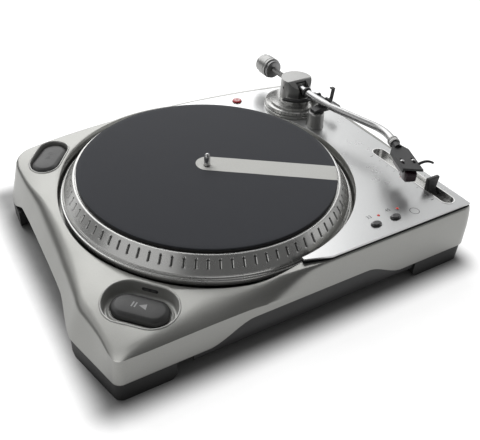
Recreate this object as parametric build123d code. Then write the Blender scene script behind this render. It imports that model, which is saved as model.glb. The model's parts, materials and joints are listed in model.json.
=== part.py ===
from build123d import *
import math
import os

# A direct-drive record player: plinth, platter with mats, S-shaped tonearm and its controls.
# Every plan position below is measured from the platter axis; heights are measured from the floor.
# The finished pieces are shifted together so that the frame's origin is the centre of the footprint.

# Plinth plan
FRONT = 187.0
BACK = 175.0
LEFT = 211.0
RIGHT = 239.0
BACK_CORNER_Y = 150.0
LEFT_BACK_X = -196.0
LEFT_WIDE_Y = -112.0
LEFT_FRONT_X = -193.0
BACK_BOW_X = 20.0
CORNER_FRONT_LEFT = 10.0
CORNER_FRONT_RIGHT = 16.0
CORNER_BACK_RIGHT = 20.0
CORNER_BACK_LEFT = 24.0
CORNER_LEFT_WIDE = 60.0
CORNER_LEAST = 2.0

# Plinth heights
FOOT_H = 22.0
TRAY_Z = 14.0
TRAY_T = 3.0
TRAY_WALL = 3.0
TRAY_GAP = 0.5
SHELL_WALL = 5.0
CEILING_Z = 46.0
WELL_FLOOR_T = 4.0
DECK_Z = 77.0
DRAFT_IN = 4.0
DRAFT_TOP = 95.0
LEFT_LEAN = 26.0
OVER = 1.0
SHOULDER_R = 8.0
SLOPE_MID_Z = 72.4
SLOPE_BACK = 0.0637
SLOPE_RIGHT = 0.0257
RIDGE_Z = 72.0
RIDGE_X = 12.0
RIDGE_SLOPE = 0.27
RIDGE_END_X = -60.0
LEFT_PAD_X = -172.0
LEFT_PAD_DIP = 0.28
TOP_FACE_LEAST = 0.95

# Arches in the skirt
FRONT_ARCH_Z = 41.0
FRONT_ARCH_LEFT = -98.0
FRONT_ARCH_RIGHT = 140.0
FRONT_ARCH_SLANT_LEFT = 32.0
FRONT_ARCH_SLANT_RIGHT = 22.0
FRONT_TRIM_INSET = 2.0
FRONT_TRIM_T = 2.2
LEFT_ARCH_Z = 35.0
LEFT_ARCH_FRONT = -102.0
LEFT_ARCH_BACK = 106.0
LEFT_ARCH_SLANT = 16.0

# Feet and base fixings
FOOT_LEN_X = 78.0
FOOT_LEN_Y = 74.0
FOOT_INSET = 1.0
FOOT_GAP = 0.1
FOOT_CHAMFER = 7.0
BOSS_R = 5.0
SCREW_R = 1.6
SCREW_HEAD_R = 3.4
SCREW_HEAD_T = 2.2
SCREW_LEN = 12.0
SCREW_FIT = 0.2
BOSS_EDGE = 16.0
BOSS_RIGHT = RIGHT - BOSS_EDGE
BOSS_LEFT_SPOTS = [(-170, -60), (-150, 75), (60, -173), (-20, -158), (40, 150)]
BOSS_SPOTS = BOSS_LEFT_SPOTS + [(BOSS_RIGHT, -60), (BOSS_RIGHT, 60)]

# Deck
DECK_EDGE = 10.0
DECK_FRONT_INSET = 6.0
DECK_BACK_INSET = 9.0
DECK_T = 2.0
DECK_TIP_X = 12.0
DECK_TIP_RUN = 28.0
DECK_TIP_DROP = 9.0
DECK_POCKET_Z = 60.0
DECK_GAP = 0.3
TRIM_INSET = 0.5
TRIM_WALL = 6.5
LEDGE_INSET = 12.0

# Platter and mats
PLATTER_R = 166.0
PLATTER_GAP = 3.0
MAT_R = 147.0
MAT_RECESS_GAP = 1.5
FELT_T = 2.0
RUBBER_T = 3.0
PLATTER_TOP = 85.0
RIM_RISE = 1.2
RIM_W = 2.0
BEVEL_FOOT_R = 164.0
LIP_Z = 66.0
LIP_H = 6.0
LIP_EDGE = 1.0
PLATTER_WEB = 6.0
PLATTER_WALL = 6.0
HUB_R = 18.0
HUB_BOTTOM = 70.0
SPINDLE_R = 3.57
SPINDLE_NECK = 0.6
SHAFT_R = 5.0
SPINDLE_TOP = 105.0
SPINDLE_TIP_R = 2.2
SPINDLE_TIP_H = 6.0
SPINDLE_TIP_EDGE = 1.0
SPINDLE_BOTTOM = 30.0
MAT_BORE_GAP = 0.25

# Motor and bearing
BEARING_RUN = 0.03
BUSH_R = 8.0
HOUSING_R = 13.0
HOUSING_TOP = 62.0
HOUSING_BOTTOM = 24.0
HOUSING_FLANGE_R = 30.0
HOUSING_FLANGE_T = 3.0
HOUSING_FLOOR_T = 2.0
BUSH_TOP_DROP = 2.0
THRUST_GAP = 0.1
STATOR_BOARD_R = 80.0
STATOR_BOARD_T = 2.0
COIL_COUNT = 12
COIL_RING_R = 46.0
COIL_R = 8.0
COIL_H = 13.0
MAGNET_IN_R = 62.0
MAGNET_W = 12.0
MAGNET_H = 11.5
BOARD_SCREW_GAP = 0.5

# Start and stop buttons
WELL_FRONT_R = 200.0
WELL_FRONT_ANGLE = 223.0
WELL_FRONT_L = 78.0
WELL_FRONT_W = 54.0
WELL_REAR_R = 191.0
WELL_REAR_ANGLE = 140.0
WELL_REAR_L = 64.0
WELL_REAR_W = 38.0
WELL_WALL = 2.0
WELL_FIT = 0.1
WELL_FLOOR_PLATE = 2.0
WELL_FRONT_FLOOR = 46.0
WELL_REAR_FLOOR = 64.0
WELL_RIM = 0.8
START_FRONT_GAP_L = 7.5
START_FRONT_GAP_W = 9.5
START_REAR_GAP_L = 0.5
START_REAR_GAP_W = 1.5
START_H = 8.5
START_EDGE_R = 5.0
START_FLOOR_GAP = 2.6
START_TRAVEL = 2.0
STEM_W = 6.0
STEM_FIT = 0.3
STEM_DROP = 9.0
SWITCH_W = 8.0
SWITCH_H = 5.0
SPEED_SWITCH_W = 6.0
SWITCH_GAP = 0.3
POST_R = 6.0
LIGHT_L = 17.0
LIGHT_H = 4.6
LIGHT_T = 0.8

# Speed buttons and their lights
SPEED_SLOW_X = 111.5
SPEED_FAST_X = 138.0
SPEED_Y = -162.5
SPEED_L = 12.5
SPEED_W = 9.0
SPEED_RISE = 2.6
SPEED_EDGE_R = 2.1
SPEED_TRAVEL = 1.2
SPEED_FIT = 0.3
SPEED_FLANGE = 0.8
SPEED_FLANGE_T = 1.6
SPEED_LIGHT_DX = 12.5
SPEED_LIGHT_Y = -151.5
SPEED_LIGHT_R = 1.6
SPEED_LIGHT_RISE = 0.5
SPEED_LIGHT_FIT = 0.15
BOARD_T = 1.6
CONTROL_BOARD_Z = 62.0
CONTROL_BOARD_MARGIN_X = 12.5
CONTROL_BOARD_FRONT = 6.0
CONTROL_BOARD_BACK = 3.5
STANDOFF_R = 2.2
STANDOFF_EDGE = 3.0

# Pitch fader
FADER_X = 211.0
FADER_FRONT_GAP = 1.5
FADER_L = 127.0
FADER_W = 18.0
FADER_WALL = 1.2
FADER_FLOOR_Z = 67.0
FADER_FLOOR_T = 1.5
FADER_RIM = 0.4
FADER_TRAVEL = 100.0
FADER_REST = -30.0
FADER_STEM_X = 1.6
FADER_STEM_Y = 5.0
FADER_SLOT_FIT = 0.4
FADER_BODY_W = 11.0
FADER_BODY_H = 9.0
FADER_BODY_END = 6.0
KNOB_W = 11.5
KNOB_TOP_W = 17.0
KNOB_L = 15.0
KNOB_H = 24.0
KNOB_TOP_L = 5.0
KNOB_WAIST_L = 8.0
KNOB_WAIST_H = 6.7
KNOB_FLOAT = 0.4

# Power button
POWER_X = 125.0
POWER_Y = 139.0
POWER_R = 6.4
POWER_RISE = 2.4
POWER_TRAVEL = 1.8
POWER_FIT = 0.25
POWER_FLANGE = 1.0
POWER_FLANGE_T = 1.6
POWER_SWITCH_WALL = 1.5
POWER_SWITCH_H = 14.5
POWER_SWITCH_BORE = 12.0

# Tonearm base
PIVOT_X = 187.0
PIVOT_Y = 93.0
ARM_Z = 108.0
BASE_R = 40.0
BASE_H = 3.5
SLEEVE_R = 22.0
SLEEVE_BORE = 16.0
SLEEVE_BOTTOM = 50.0
SLIDE_FIT = 0.04
RING_R = 38.5
RING_H = 5.0
RING_GAP = 0.2
RING_BORE_GAP = 0.4
RING_NOTCHES = 36
RING_NOTCH_R = 0.8
COLUMN_DISC_R = 33.0
COLUMN_DISC_T = 2.4
COLUMN_NECK_R = 19.0
COLUMN_NECK_TOP = 92.6
COLUMN_BOTTOM = 56.0
SWING_SHAFT_R = 4.0
SWING_SHAFT_BOTTOM = 66.0
SWING_GAP = 0.2

# Gimbal
YOKE_R = 20.0
YOKE_BASE_T = 4.0
YOKE_TOP = 118.5
YOKE_ROOF_T = 2.0
YOKE_SLOT_W = 16.0
YOKE_NOSE_DROP = 9.0
BLOCK_W = 15.0
BLOCK_L = 20.0
BLOCK_H = 13.0
PIN_R = 1.5
PIN_FIT = 0.03
PIN_END = 1.0

# Arm
TUBE_R = 4.5
TUBE_BORE = 3.5
BEND_OUT_Y = -62.0
BEND_BACK_X = 24.0
BEND_BACK_Y = -150.0
BEND_OUT_R = 190.0
BEND_BACK_R = 55.0
TUBE_LAST = 30.0
OFFSET_ANGLE = 22.0
RING_CLIP_Y = -23.0
RING_CLIP_W = 3.5
RING_CLIP_R = 6.6
COLLAR_R = 6.2
COLLAR_L = 9.0
COLLAR_FIT = 0.05
SHELL_L = 52.0
SHELL_W = 21.0
SHELL_NECK_W = 10.0
SHELL_NECK_L = 9.0
SHELL_T = 2.6
SHELL_RIB_H = 3.0
SHELL_RIB_T = 1.8
SHELL_SLOT_L = 11.0
SHELL_SLOT_W = 2.8
SHELL_SLOT_SPAN = 12.7
SHELL_END_CUT = 5.0
CARTRIDGE_W = 16.0
CARTRIDGE_L = 27.0
CARTRIDGE_H = 10.5
CARTRIDGE_FROM_END = 5.0
CARTRIDGE_SLOPE = 4.0
STYLUS_W = 6.0
STYLUS_L = 14.0
STYLUS_H = 3.4
NEEDLE_R = 0.5
NEEDLE_H = 1.6
LIFT_R = 1.1
LIFT_OUT = 15.0
LIFT_UP = 4.0
LIFT_FROM_END = 8.0

# Counterweight
REAR_SHAFT_R = 3.5
REAR_SHAFT_END = 77.0
WEIGHT_R = 13.5
WEIGHT_FRONT = 57.0
WEIGHT_L = 23.0
WEIGHT_STEP_L = 6.0
WEIGHT_STEP = 1.2
DIAL_R = 12.0
DIAL_T = 4.6
DIAL_GAP = 0.2
WEIGHT_FIT = 0.04

# Arm rest, clip and cueing
REST_X = -7.0
REST_Y = -57.0
REST_R = 11.5
REST_TOP_R = 10.0
REST_TOP = 97.0
CRADLE_L = 10.0
CRADLE_LEFT = 13.0
CRADLE_FLOOR_GAP = 0.4
CRADLE_T = 2.4
PRONG_GAP = 3.8
PRONG_W = 3.0
PRONG_TOP = 111.0
CLIP_W = 5.0
CLIP_T = 1.6
CLIP_GAP = 0.6
CLIP_TIP = 3.6
CLIP_OPEN = 95.0
CLIP_PIN_R = 0.9
CUE_BAR_IN = 24.0
CUE_BAR_OUT = 29.0
CUE_BAR_T = 2.6
CUE_BAR_Z = 98.4
CUE_BAR_START = 200.0
CUE_BAR_END = 322.0
CUE_FAN_STEPS = 8
CUE_RISE = 2.2
CUE_ROD_R = 2.0
CUE_ROD_BOTTOM = 90.0
CUE_BLOCK_W = 8.0
CUE_BLOCK_TOP = 95.4
CUE_LEVER_L = 40.0
CUE_LEVER_W = 5.0
CUE_LEVER_T = 2.2
CUE_LEVER_Z = 93.5
CUE_LEVER_GAP = 0.3
CUE_PIN_R = 1.3
SKATE_X = 23.0
SKATE_Y = 16.0
SKATE_R = 6.5
SKATE_H = 7.0
SKATE_PIN_R = 1.5
SKATE_GAP = 0.2

# Rear sockets and inner electrics
PANEL_X = 140.0
PANEL_L = 100.0
PANEL_Y = 149.0
PANEL_T = 2.0
PANEL_LOW = 25.0
PANEL_HIGH = 43.0
PANEL_FIT = 0.3
SOCKET_Z = 34.0
SOCKET_R = 4.15
SOCKET_BASE_R = 5.2
SOCKET_BASE_OUT = 0.5
SOCKET_BORE = 1.6
SOCKET_OUT = 9.0
SOCKET_FIT = 0.1
SOCKET_X = [104.0, 122.0]
GROUND_X = 140.0
GROUND_R = 3.0
INLET_X = 168.0
INLET_W = 26.0
INLET_H = 15.0
INLET_DEPTH = 14.0
INLET_WALL = 2.0
MAIN_BOARD_X = 110.0
MAIN_BOARD_Y = -60.0
MAIN_BOARD_L = 130.0
MAIN_BOARD_W = 90.0
MAIN_BOARD_LIFT = 6.0
CAPACITOR_R = 7.5
CAPACITOR_H = 12.0
TRANSFORMER_X = 60.0
TRANSFORMER_Y = 90.0
TRANSFORMER_L = 58.0
TRANSFORMER_W = 48.0
TRANSFORMER_H = 24.0
TRANSFORMER_CORE = 8.0
TRANSFORMER_COIL_DROP = 2.0

# Values that follow from the sizes above
AXIS_X = (LEFT - RIGHT) / 2
AXIS_Y = (FRONT - BACK) / 2
WELL_R = PLATTER_R + PLATTER_GAP
WELL_FLOOR = CEILING_Z + WELL_FLOOR_T
LEFT_ROOM = LEFT_LEAN * (CEILING_Z - FOOT_H) / (DRAFT_TOP - FOOT_H)
RUBBER_Z = PLATTER_TOP
FELT_Z = RUBBER_Z + RUBBER_T
MAT_TOP = FELT_Z + FELT_T
TRAY_TOP = TRAY_Z + TRAY_T
RIM_R = MAT_R + MAT_RECESS_GAP
DECK_UNDER = DECK_Z - DECK_T
FADER_Y = -FRONT + DECK_FRONT_INSET + TRIM_INSET + TRIM_WALL + FADER_FRONT_GAP + FADER_L / 2
FADER_SLOT_L = FADER_TRAVEL + FADER_STEM_Y + 2 * FADER_SLOT_FIT
FADER_SLOT_W = FADER_STEM_X + 2 * FADER_SLOT_FIT
SHELL_DIR = Vector(-math.sin(math.radians(OFFSET_ANGLE)), -math.cos(math.radians(OFFSET_ANGLE)), 0)
TUBE_END = Vector(BEND_BACK_X, BEND_BACK_Y, 0) + SHELL_DIR * TUBE_LAST
MIN_BOTTOM = (Align.CENTER, Align.CENTER, Align.MIN)


def block(x_size, y_size, z_low, z_high, x=0.0, y=0.0):
    """Upright box centred on (x, y) between two heights."""
    return Pos(x, y, z_low) * Box(x_size, y_size, z_high - z_low, align=MIN_BOTTOM)


def disc(radius, z_low, z_high, x=0.0, y=0.0):
    """Upright cylinder between two heights."""
    return Pos(x, y, z_low) * Cylinder(radius, z_high - z_low, align=MIN_BOTTOM)


def tube(outer, inner, z_low, z_high, x=0.0, y=0.0):
    """Upright tube between two heights."""
    return disc(outer, z_low, z_high, x, y) - disc(inner, z_low - OVER, z_high + OVER, x, y)


def obround(length, width, z_low, z_high, x, y, angle):
    """Upright slot shape, its long side turned by angle from +X."""
    face = SlotOverall(length, width).face()
    return Pos(x, y, z_low) * Rot(0, 0, angle) * extrude(face, z_high - z_low)


def prism(points, low, high, plane):
    """Straight-sided outline drawn in a plane and raised between two offsets."""
    face = make_face(Polyline(*points, close=True))
    return plane * Pos(0, 0, low) * extrude(face, high - low)


def back_arc():
    """Centre height and radius of the bowed back edge, which is level at BACK_BOW_X."""
    half = RIGHT - BACK_BOW_X
    rise = BACK - BACK_CORNER_Y
    radius = (half ** 2 + rise ** 2) / (2 * rise)
    return BACK - radius, radius


def back_y(x, inset):
    """Back edge at x, moved inwards."""
    centre_y, radius = back_arc()
    return centre_y + math.sqrt((radius - inset) ** 2 - (x - BACK_BOW_X) ** 2)


def plinth_outline(inset, left_in=0.0):
    """Plan outline of the plinth, moved inwards, its left side further by left_in."""
    left_x = LEFT_BACK_X + inset + left_in
    front_left = Vector(LEFT_FRONT_X + inset + left_in, -FRONT + inset)
    front_right = Vector(RIGHT - inset, -FRONT + inset)
    back_right = Vector(RIGHT - inset, back_y(RIGHT - inset, inset))
    back_left = Vector(left_x, back_y(left_x, inset))
    left_wide = Vector(-LEFT + inset + left_in, LEFT_WIDE_Y)
    bow = Vector(BACK_BOW_X, BACK - inset)
    edges = [
        Edge.make_line(front_left, front_right),
        Edge.make_line(front_right, back_right),
        Edge.make_three_point_arc(back_right, bow, back_left),
        Edge.make_line(back_left, left_wide),
        Edge.make_line(left_wide, front_left),
    ]
    face = Face(Wire(edges))
    corners = [
        (front_left, CORNER_FRONT_LEFT),
        (front_right, CORNER_FRONT_RIGHT),
        (back_right, CORNER_BACK_RIGHT),
        (back_left, CORNER_BACK_LEFT),
        (left_wide, CORNER_LEFT_WIDE),
    ]
    for corner, radius in corners:
        vertex = face.vertices().sort_by_distance(corner)[0]
        face = face.fillet_2d(max(radius - inset, CORNER_LEAST), [vertex])
    return face


def plinth_slab(inset, z_low, z_high):
    """Plinth outline, moved inwards, as an upright slab."""
    return Pos(0, 0, z_low) * extrude(plinth_outline(inset), z_high - z_low)


def room_slab(inset, z_low, z_high):
    """Plinth outline, moved inwards and clear of the leaning left wall, as an upright slab."""
    return Pos(0, 0, z_low) * extrude(plinth_outline(inset, LEFT_ROOM), z_high - z_low)


def deck_outline(inset, round_platter=True):
    """Plan outline of the deck beside the platter, moved inwards."""
    front = -FRONT + DECK_FRONT_INSET + inset
    right = RIGHT - DECK_EDGE - inset
    tip = DECK_TIP_X + inset
    back = DECK_BACK_INSET + inset
    mid_x = (tip + right) / 2
    edges = [
        Edge.make_line((tip, 0), (tip, front + DECK_TIP_DROP)),
        Edge.make_line((tip, front + DECK_TIP_DROP), (tip + DECK_TIP_RUN, front)),
        Edge.make_line((tip + DECK_TIP_RUN, front), (right, front)),
        Edge.make_line((right, front), (right, back_y(right, back))),
        Edge.make_three_point_arc(
            (right, back_y(right, back)), (mid_x, back_y(mid_x, back)), (tip, back_y(tip, back))
        ),
        Edge.make_line((tip, back_y(tip, back)), (tip, 0)),
    ]
    face = Face(Wire(edges))
    if round_platter:
        face = (Sketch() + face) - Circle(WELL_R + inset)
        face = face.faces().sort_by(SortBy.AREA)[-1]
    return face


def deck_slab(inset, z_low, z_high, round_platter=True):
    """Deck outline as an upright slab."""
    return Pos(0, 0, z_low) * extrude(deck_outline(inset, round_platter), z_high - z_low)


def slope_cut(rise):
    """Everything above the sloping top of the plinth, moved up by rise."""
    up = Vector(-SLOPE_RIGHT, -SLOPE_BACK, 1).normalized()
    plane = Plane(origin=(0, 0, SLOPE_MID_Z + rise), z_dir=up)
    size = 4 * RIGHT
    above = plane * Box(size, size, BACK, align=MIN_BOTTOM)
    flat = block(size, size, DECK_Z + rise, DECK_Z + BACK)
    return above + flat


def above_ridge():
    """Everything above the ridge that falls away to the left of the deck's tip."""
    size = 4 * RIGHT
    top = DECK_Z + BACK
    low = RIDGE_Z - RIDGE_SLOPE * size
    points = [(RIDGE_X, RIDGE_Z), (RIDGE_X - size, low), (RIDGE_X - size, top), (RIDGE_X, top)]
    return prism(points, -size, size, Plane.XZ)


def left_dip(rise):
    """Everything above the left pad, which dips away from the platter."""
    up = Vector(-SLOPE_RIGHT - LEFT_PAD_DIP, -SLOPE_BACK, 1).normalized()
    hinge_z = SLOPE_MID_Z + SLOPE_RIGHT * LEFT_PAD_X + rise
    plane = Plane(origin=(LEFT_PAD_X, 0, hinge_z), z_dir=up)
    size = 4 * RIGHT
    return plane * Box(size, size, BACK, align=MIN_BOTTOM)


def top_rim(solid):
    """Edges between the plinth's upper faces and its walls."""
    upper = [face for face in solid.faces() if face.normal_at(face.center()).Z > TOP_FACE_LEAST]
    edges = [edge for face in upper for edge in face.edges()]
    rim = []
    for edge in edges:
        twins = [other for other in edges if (other.center() - edge.center()).length < 1e-6]
        if len(twins) == 1:
            rim.append(edge)
    return rim


def well_place(radius, angle):
    """Plan position at a distance and a bearing from the platter axis."""
    turn = math.radians(angle)
    return radius * math.cos(turn), radius * math.sin(turn)


FRONT_WELL = well_place(WELL_FRONT_R, WELL_FRONT_ANGLE)
REAR_WELL = well_place(WELL_REAR_R, WELL_REAR_ANGLE)


def front_arch(low, clearance):
    """Front arch outline in X and Z, as points."""
    left = FRONT_ARCH_LEFT + clearance
    right = FRONT_ARCH_RIGHT - clearance
    top = FRONT_ARCH_Z - clearance
    return [
        (left, low),
        (right, low),
        (right, FOOT_H),
        (right - FRONT_ARCH_SLANT_RIGHT, top),
        (left + FRONT_ARCH_SLANT_LEFT, top),
        (left, FOOT_H),
    ]


def left_arch():
    """Left arch outline in Y and Z, as points."""
    return [
        (LEFT_ARCH_FRONT, 0),
        (LEFT_ARCH_BACK, 0),
        (LEFT_ARCH_BACK, FOOT_H),
        (LEFT_ARCH_BACK - LEFT_ARCH_SLANT, LEFT_ARCH_Z),
        (LEFT_ARCH_FRONT + LEFT_ARCH_SLANT, LEFT_ARCH_Z),
        (LEFT_ARCH_FRONT, FOOT_H),
    ]


def plinth_block(top_cut):
    """Solid plinth with drafted walls, its top cut and its shoulder rounded."""
    low = Pos(0, 0, FOOT_H) * plinth_outline(0)
    high = Pos(0, 0, DRAFT_TOP) * plinth_outline(DRAFT_IN, LEFT_LEAN)
    whole = loft([low, high], ruled=True) - top_cut
    return whole.fillet(SHOULDER_R, top_rim(whole))


def plinth_body():
    """Moulded plinth: sloping top, front ridge, platter well, deck pocket, holes and arches."""
    size = 4 * RIGHT
    level = block(size, size, RIDGE_Z, RIDGE_Z + BACK)
    left = block(size, size, 0, DRAFT_TOP, RIDGE_END_X - size / 2)
    ridge = plinth_block(level + left) - above_ridge()
    shell = plinth_block(slope_cut(0)) - left_dip(0) + ridge
    shell -= room_slab(SHELL_WALL, 0, CEILING_Z)
    shell -= disc(WELL_R, WELL_FLOOR, DRAFT_TOP)
    shell -= disc(HOUSING_R, 0, DRAFT_TOP)
    shell -= deck_slab(-DECK_GAP, DECK_POCKET_Z, DRAFT_TOP, round_platter=False)
    shell -= deck_slab(LEDGE_INSET, 0, DRAFT_TOP)
    for place, length, width, angle in well_list():
        grow = 2 * WELL_FIT
        shell -= obround(length + grow, width + grow, 0, DRAFT_TOP, *place, angle)
    shell -= prism(front_arch(0, 0), FRONT - 2 * SHELL_WALL, FRONT + SHELL_WALL, Plane.XZ)
    arch_depth = 5 * SHELL_WALL + LEFT_ROOM
    shell -= prism(left_arch(), -LEFT - SHELL_WALL, -LEFT + arch_depth, Plane.YZ)
    back_wall = BACK + SHELL_WALL
    panel_depth = back_wall - PANEL_Y
    opening_y = PANEL_Y + panel_depth / 2
    return shell - block(PANEL_L, panel_depth, PANEL_LOW, PANEL_HIGH, PANEL_X, opening_y)


def below_ceiling():
    """Everything lower than the plinth's ceiling."""
    return block(4 * RIGHT, 4 * RIGHT, 0, CEILING_Z)


def plinth_shell(body):
    """Upper moulding of the plinth, with the bosses that take the tray's screws."""
    shell = body - below_ceiling()
    for x, y in BOSS_SPOTS:
        shell += disc(BOSS_R, TRAY_TOP, CEILING_Z, x, y)
    for x, y in BOSS_SPOTS:
        shell -= disc(SCREW_R, 0, TRAY_TOP + SCREW_LEN, x, y)
    return shell


def plinth_skirt(body):
    """Lower wall of the plinth, with its arches and the opening for the sockets."""
    return body & below_ceiling()


def well_list():
    """Both start wells: place, length, width and turn."""
    return [
        (FRONT_WELL, WELL_FRONT_L, WELL_FRONT_W, WELL_FRONT_ANGLE + 90),
        (REAR_WELL, WELL_REAR_L, WELL_REAR_W, WELL_REAR_ANGLE + 90),
    ]


def start_well(place, length, width, angle, floor):
    """Cup that lines a start well, its rim following the plinth's slope."""
    inner_l = length - 2 * WELL_WALL
    inner_w = width - 2 * WELL_WALL
    under = floor - WELL_FLOOR_PLATE
    low = min(under, CEILING_Z)
    cup = obround(length, width, low, DRAFT_TOP, *place, angle)
    cup = cup - slope_cut(WELL_RIM) - left_dip(WELL_RIM)
    cup -= obround(inner_l, inner_w, floor, DRAFT_TOP, *place, angle)
    if under > CEILING_Z:
        cup -= obround(inner_l, inner_w, CEILING_Z - OVER, under, *place, angle)
    hole = STEM_W + 2 * STEM_FIT
    cup -= Pos(*place, under - OVER) * Rot(0, 0, angle) * Box(hole, hole, START_H, align=MIN_BOTTOM)
    return cup


def start_button(place, length, width, angle, floor, gap_l, gap_w):
    """Domed pill-shaped button with a square stem, clear of its well by two gaps."""
    low = floor + START_FLOOR_GAP
    cap_l = length - 2 * (WELL_WALL + gap_l)
    cap_w = width - 2 * (WELL_WALL + gap_w)
    cap = obround(cap_l, cap_w, low, low + START_H, *place, angle)
    cap = cap.fillet(START_EDGE_R, cap.faces().sort_by(Axis.Z)[-1].edges())
    stem_low = floor - STEM_DROP
    stem = Box(STEM_W, STEM_W, low - stem_low + OVER, align=MIN_BOTTOM)
    return cap + Pos(*place, stem_low) * Rot(0, 0, angle) * stem


def start_switch(place, angle, floor):
    """Switch under a start button's stem."""
    body = Box(SWITCH_W, SWITCH_W, SWITCH_H, align=MIN_BOTTOM)
    return Pos(*place, switch_foot(floor)) * Rot(0, 0, angle) * body


def switch_foot(floor):
    """Height of the underside of a start switch."""
    return floor - STEM_DROP - START_TRAVEL - SWITCH_GAP - SWITCH_H


def start_light():
    """Small lit window on the front well's wall nearest the platter."""
    reach = WELL_FRONT_R - WELL_FRONT_W / 2 + WELL_WALL + LIGHT_T / 2
    x, y = well_place(reach, WELL_FRONT_ANGLE)
    mid_z = (WELL_FRONT_FLOOR + SLOPE_MID_Z - SLOPE_BACK * abs(y)) / 2
    turn = Rot(0, 0, WELL_FRONT_ANGLE)
    return Pos(x, y, mid_z) * turn * Box(LIGHT_T, LIGHT_L, LIGHT_H)


def base_tray():
    """Base tray with its upright wall, switch posts and board posts."""
    tray = room_slab(SHELL_WALL + TRAY_GAP, TRAY_Z, TRAY_TOP)
    wall = room_slab(SHELL_WALL + TRAY_GAP, TRAY_TOP, CEILING_Z - TRAY_GAP)
    wall -= room_slab(SHELL_WALL + TRAY_GAP + TRAY_WALL, TRAY_TOP - OVER, CEILING_Z)
    gap_l = PANEL_L + 2 * PANEL_FIT
    gap_w = 4 * SHELL_WALL + BACK
    tray += wall - block(gap_l, gap_w, TRAY_TOP, CEILING_Z, PANEL_X, BACK)
    tray += disc(POST_R, TRAY_TOP, switch_foot(WELL_FRONT_FLOOR), *FRONT_WELL)
    tray += disc(POST_R, TRAY_TOP, switch_foot(WELL_REAR_FLOOR), *REAR_WELL)
    for x, y in board_posts():
        tray += disc(STANDOFF_R, TRAY_TOP, TRAY_TOP + MAIN_BOARD_LIFT, x, y)
    for x, y in BOSS_SPOTS:
        tray -= disc(BOSS_R + TRAY_GAP, TRAY_TOP, CEILING_Z, x, y)
        tray -= disc(SCREW_R + SCREW_FIT, 0, CEILING_Z, x, y)
    return tray


def board_posts():
    """Corners where the main board is held."""
    half_x = MAIN_BOARD_L / 2 - STANDOFF_EDGE
    half_y = MAIN_BOARD_W / 2 - STANDOFF_EDGE
    corners = [(-1, -1), (-1, 1), (1, -1), (1, 1)]
    return [(MAIN_BOARD_X + sx * half_x, MAIN_BOARD_Y + sy * half_y) for sx, sy in corners]


def base_screws():
    """Screws that hold the tray to the plinth's bosses."""
    screws = []
    for x, y in BOSS_SPOTS:
        head = disc(SCREW_HEAD_R, TRAY_Z - SCREW_HEAD_T, TRAY_Z, x, y)
        screws.append(head + disc(SCREW_R, TRAY_Z, TRAY_TOP + SCREW_LEN, x, y))
    return Compound(children=screws)


def foot(side_x, side_y):
    """Rubber corner foot, flush under the skirt, with a chamfered inner end."""
    below = plinth_slab(FOOT_INSET, 0, TRAY_Z)
    lip = plinth_slab(FOOT_INSET, TRAY_Z, FOOT_H - FOOT_GAP)
    lip -= room_slab(SHELL_WALL + TRAY_GAP - FOOT_GAP, TRAY_Z - OVER, FOOT_H)
    whole = below + lip
    edge_x = RIGHT if side_x > 0 else -LEFT
    edge_y = BACK if side_y > 0 else -FRONT
    corner = block(2 * FOOT_LEN_X, 2 * FOOT_LEN_Y, -OVER, FOOT_H + OVER, edge_x, edge_y)
    inner_x = edge_x - side_x * FOOT_LEN_X
    inner_y = edge_y - side_y * FOOT_LEN_Y
    slant = Rot(0, -45 * side_x, 0) * Box(FOOT_CHAMFER, 4 * FOOT_LEN_Y, FOOT_CHAMFER)
    piece = (whole & corner) - Pos(inner_x, edge_y, 0) * slant
    slant_y = Rot(45 * side_y, 0, 0) * Box(4 * FOOT_LEN_X, FOOT_CHAMFER, FOOT_CHAMFER)
    return piece - Pos(edge_x, inner_y, 0) * slant_y


def front_trim():
    """Dark strip that fills the front arch, set back from the skirt."""
    outer = FRONT - FRONT_TRIM_INSET - DRAFT_IN * (FRONT_ARCH_Z - FOOT_H) / (DRAFT_TOP - FOOT_H)
    return prism(front_arch(TRAY_Z, WELL_FIT), outer - FRONT_TRIM_T, outer, Plane.XZ)


def deck_plate():
    """Flat satin plate beside the platter, with its openings and standoffs."""
    plate = deck_slab(0, DECK_UNDER, DECK_Z)
    plate -= disc(SLEEVE_R, 0, DRAFT_TOP, PIVOT_X, PIVOT_Y)
    plate -= obround(FADER_L, FADER_W, 0, DRAFT_TOP, FADER_X, FADER_Y, 90)
    plate -= disc(POWER_R + POWER_FIT, 0, DRAFT_TOP, POWER_X, POWER_Y)
    for x in (SPEED_SLOW_X, SPEED_FAST_X):
        hole = extrude(Ellipse(SPEED_L / 2 + SPEED_FIT, SPEED_W / 2 + SPEED_FIT), DRAFT_TOP)
        plate -= Pos(x, SPEED_Y, 0) * hole
        plate -= disc(SPEED_LIGHT_R + SPEED_LIGHT_FIT, 0, DRAFT_TOP, x + SPEED_LIGHT_DX, SPEED_LIGHT_Y)
    for x, y in control_posts():
        plate += disc(STANDOFF_R, CONTROL_BOARD_Z + BOARD_T, DECK_UNDER, x, y)
    return plate


def control_span():
    """Edges of the control board: left, right, front and back."""
    left = SPEED_SLOW_X - CONTROL_BOARD_MARGIN_X
    right = SPEED_FAST_X + SPEED_LIGHT_DX + CONTROL_BOARD_MARGIN_X
    return left, right, SPEED_Y - CONTROL_BOARD_FRONT, SPEED_LIGHT_Y + CONTROL_BOARD_BACK


def control_posts():
    """Standoffs between the deck plate and the control board."""
    left, right, front, back = control_span()
    edge = STANDOFF_EDGE
    return [(left + edge, front + edge), (right - edge, front + edge), (right - edge, back - edge)]


def control_board():
    """Board that carries the speed switches and their lights."""
    left, right, front, back = control_span()
    mid_x = (left + right) / 2
    mid_y = (front + back) / 2
    top = CONTROL_BOARD_Z + BOARD_T
    return block(right - left, back - front, CONTROL_BOARD_Z, top, mid_x, mid_y)


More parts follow.
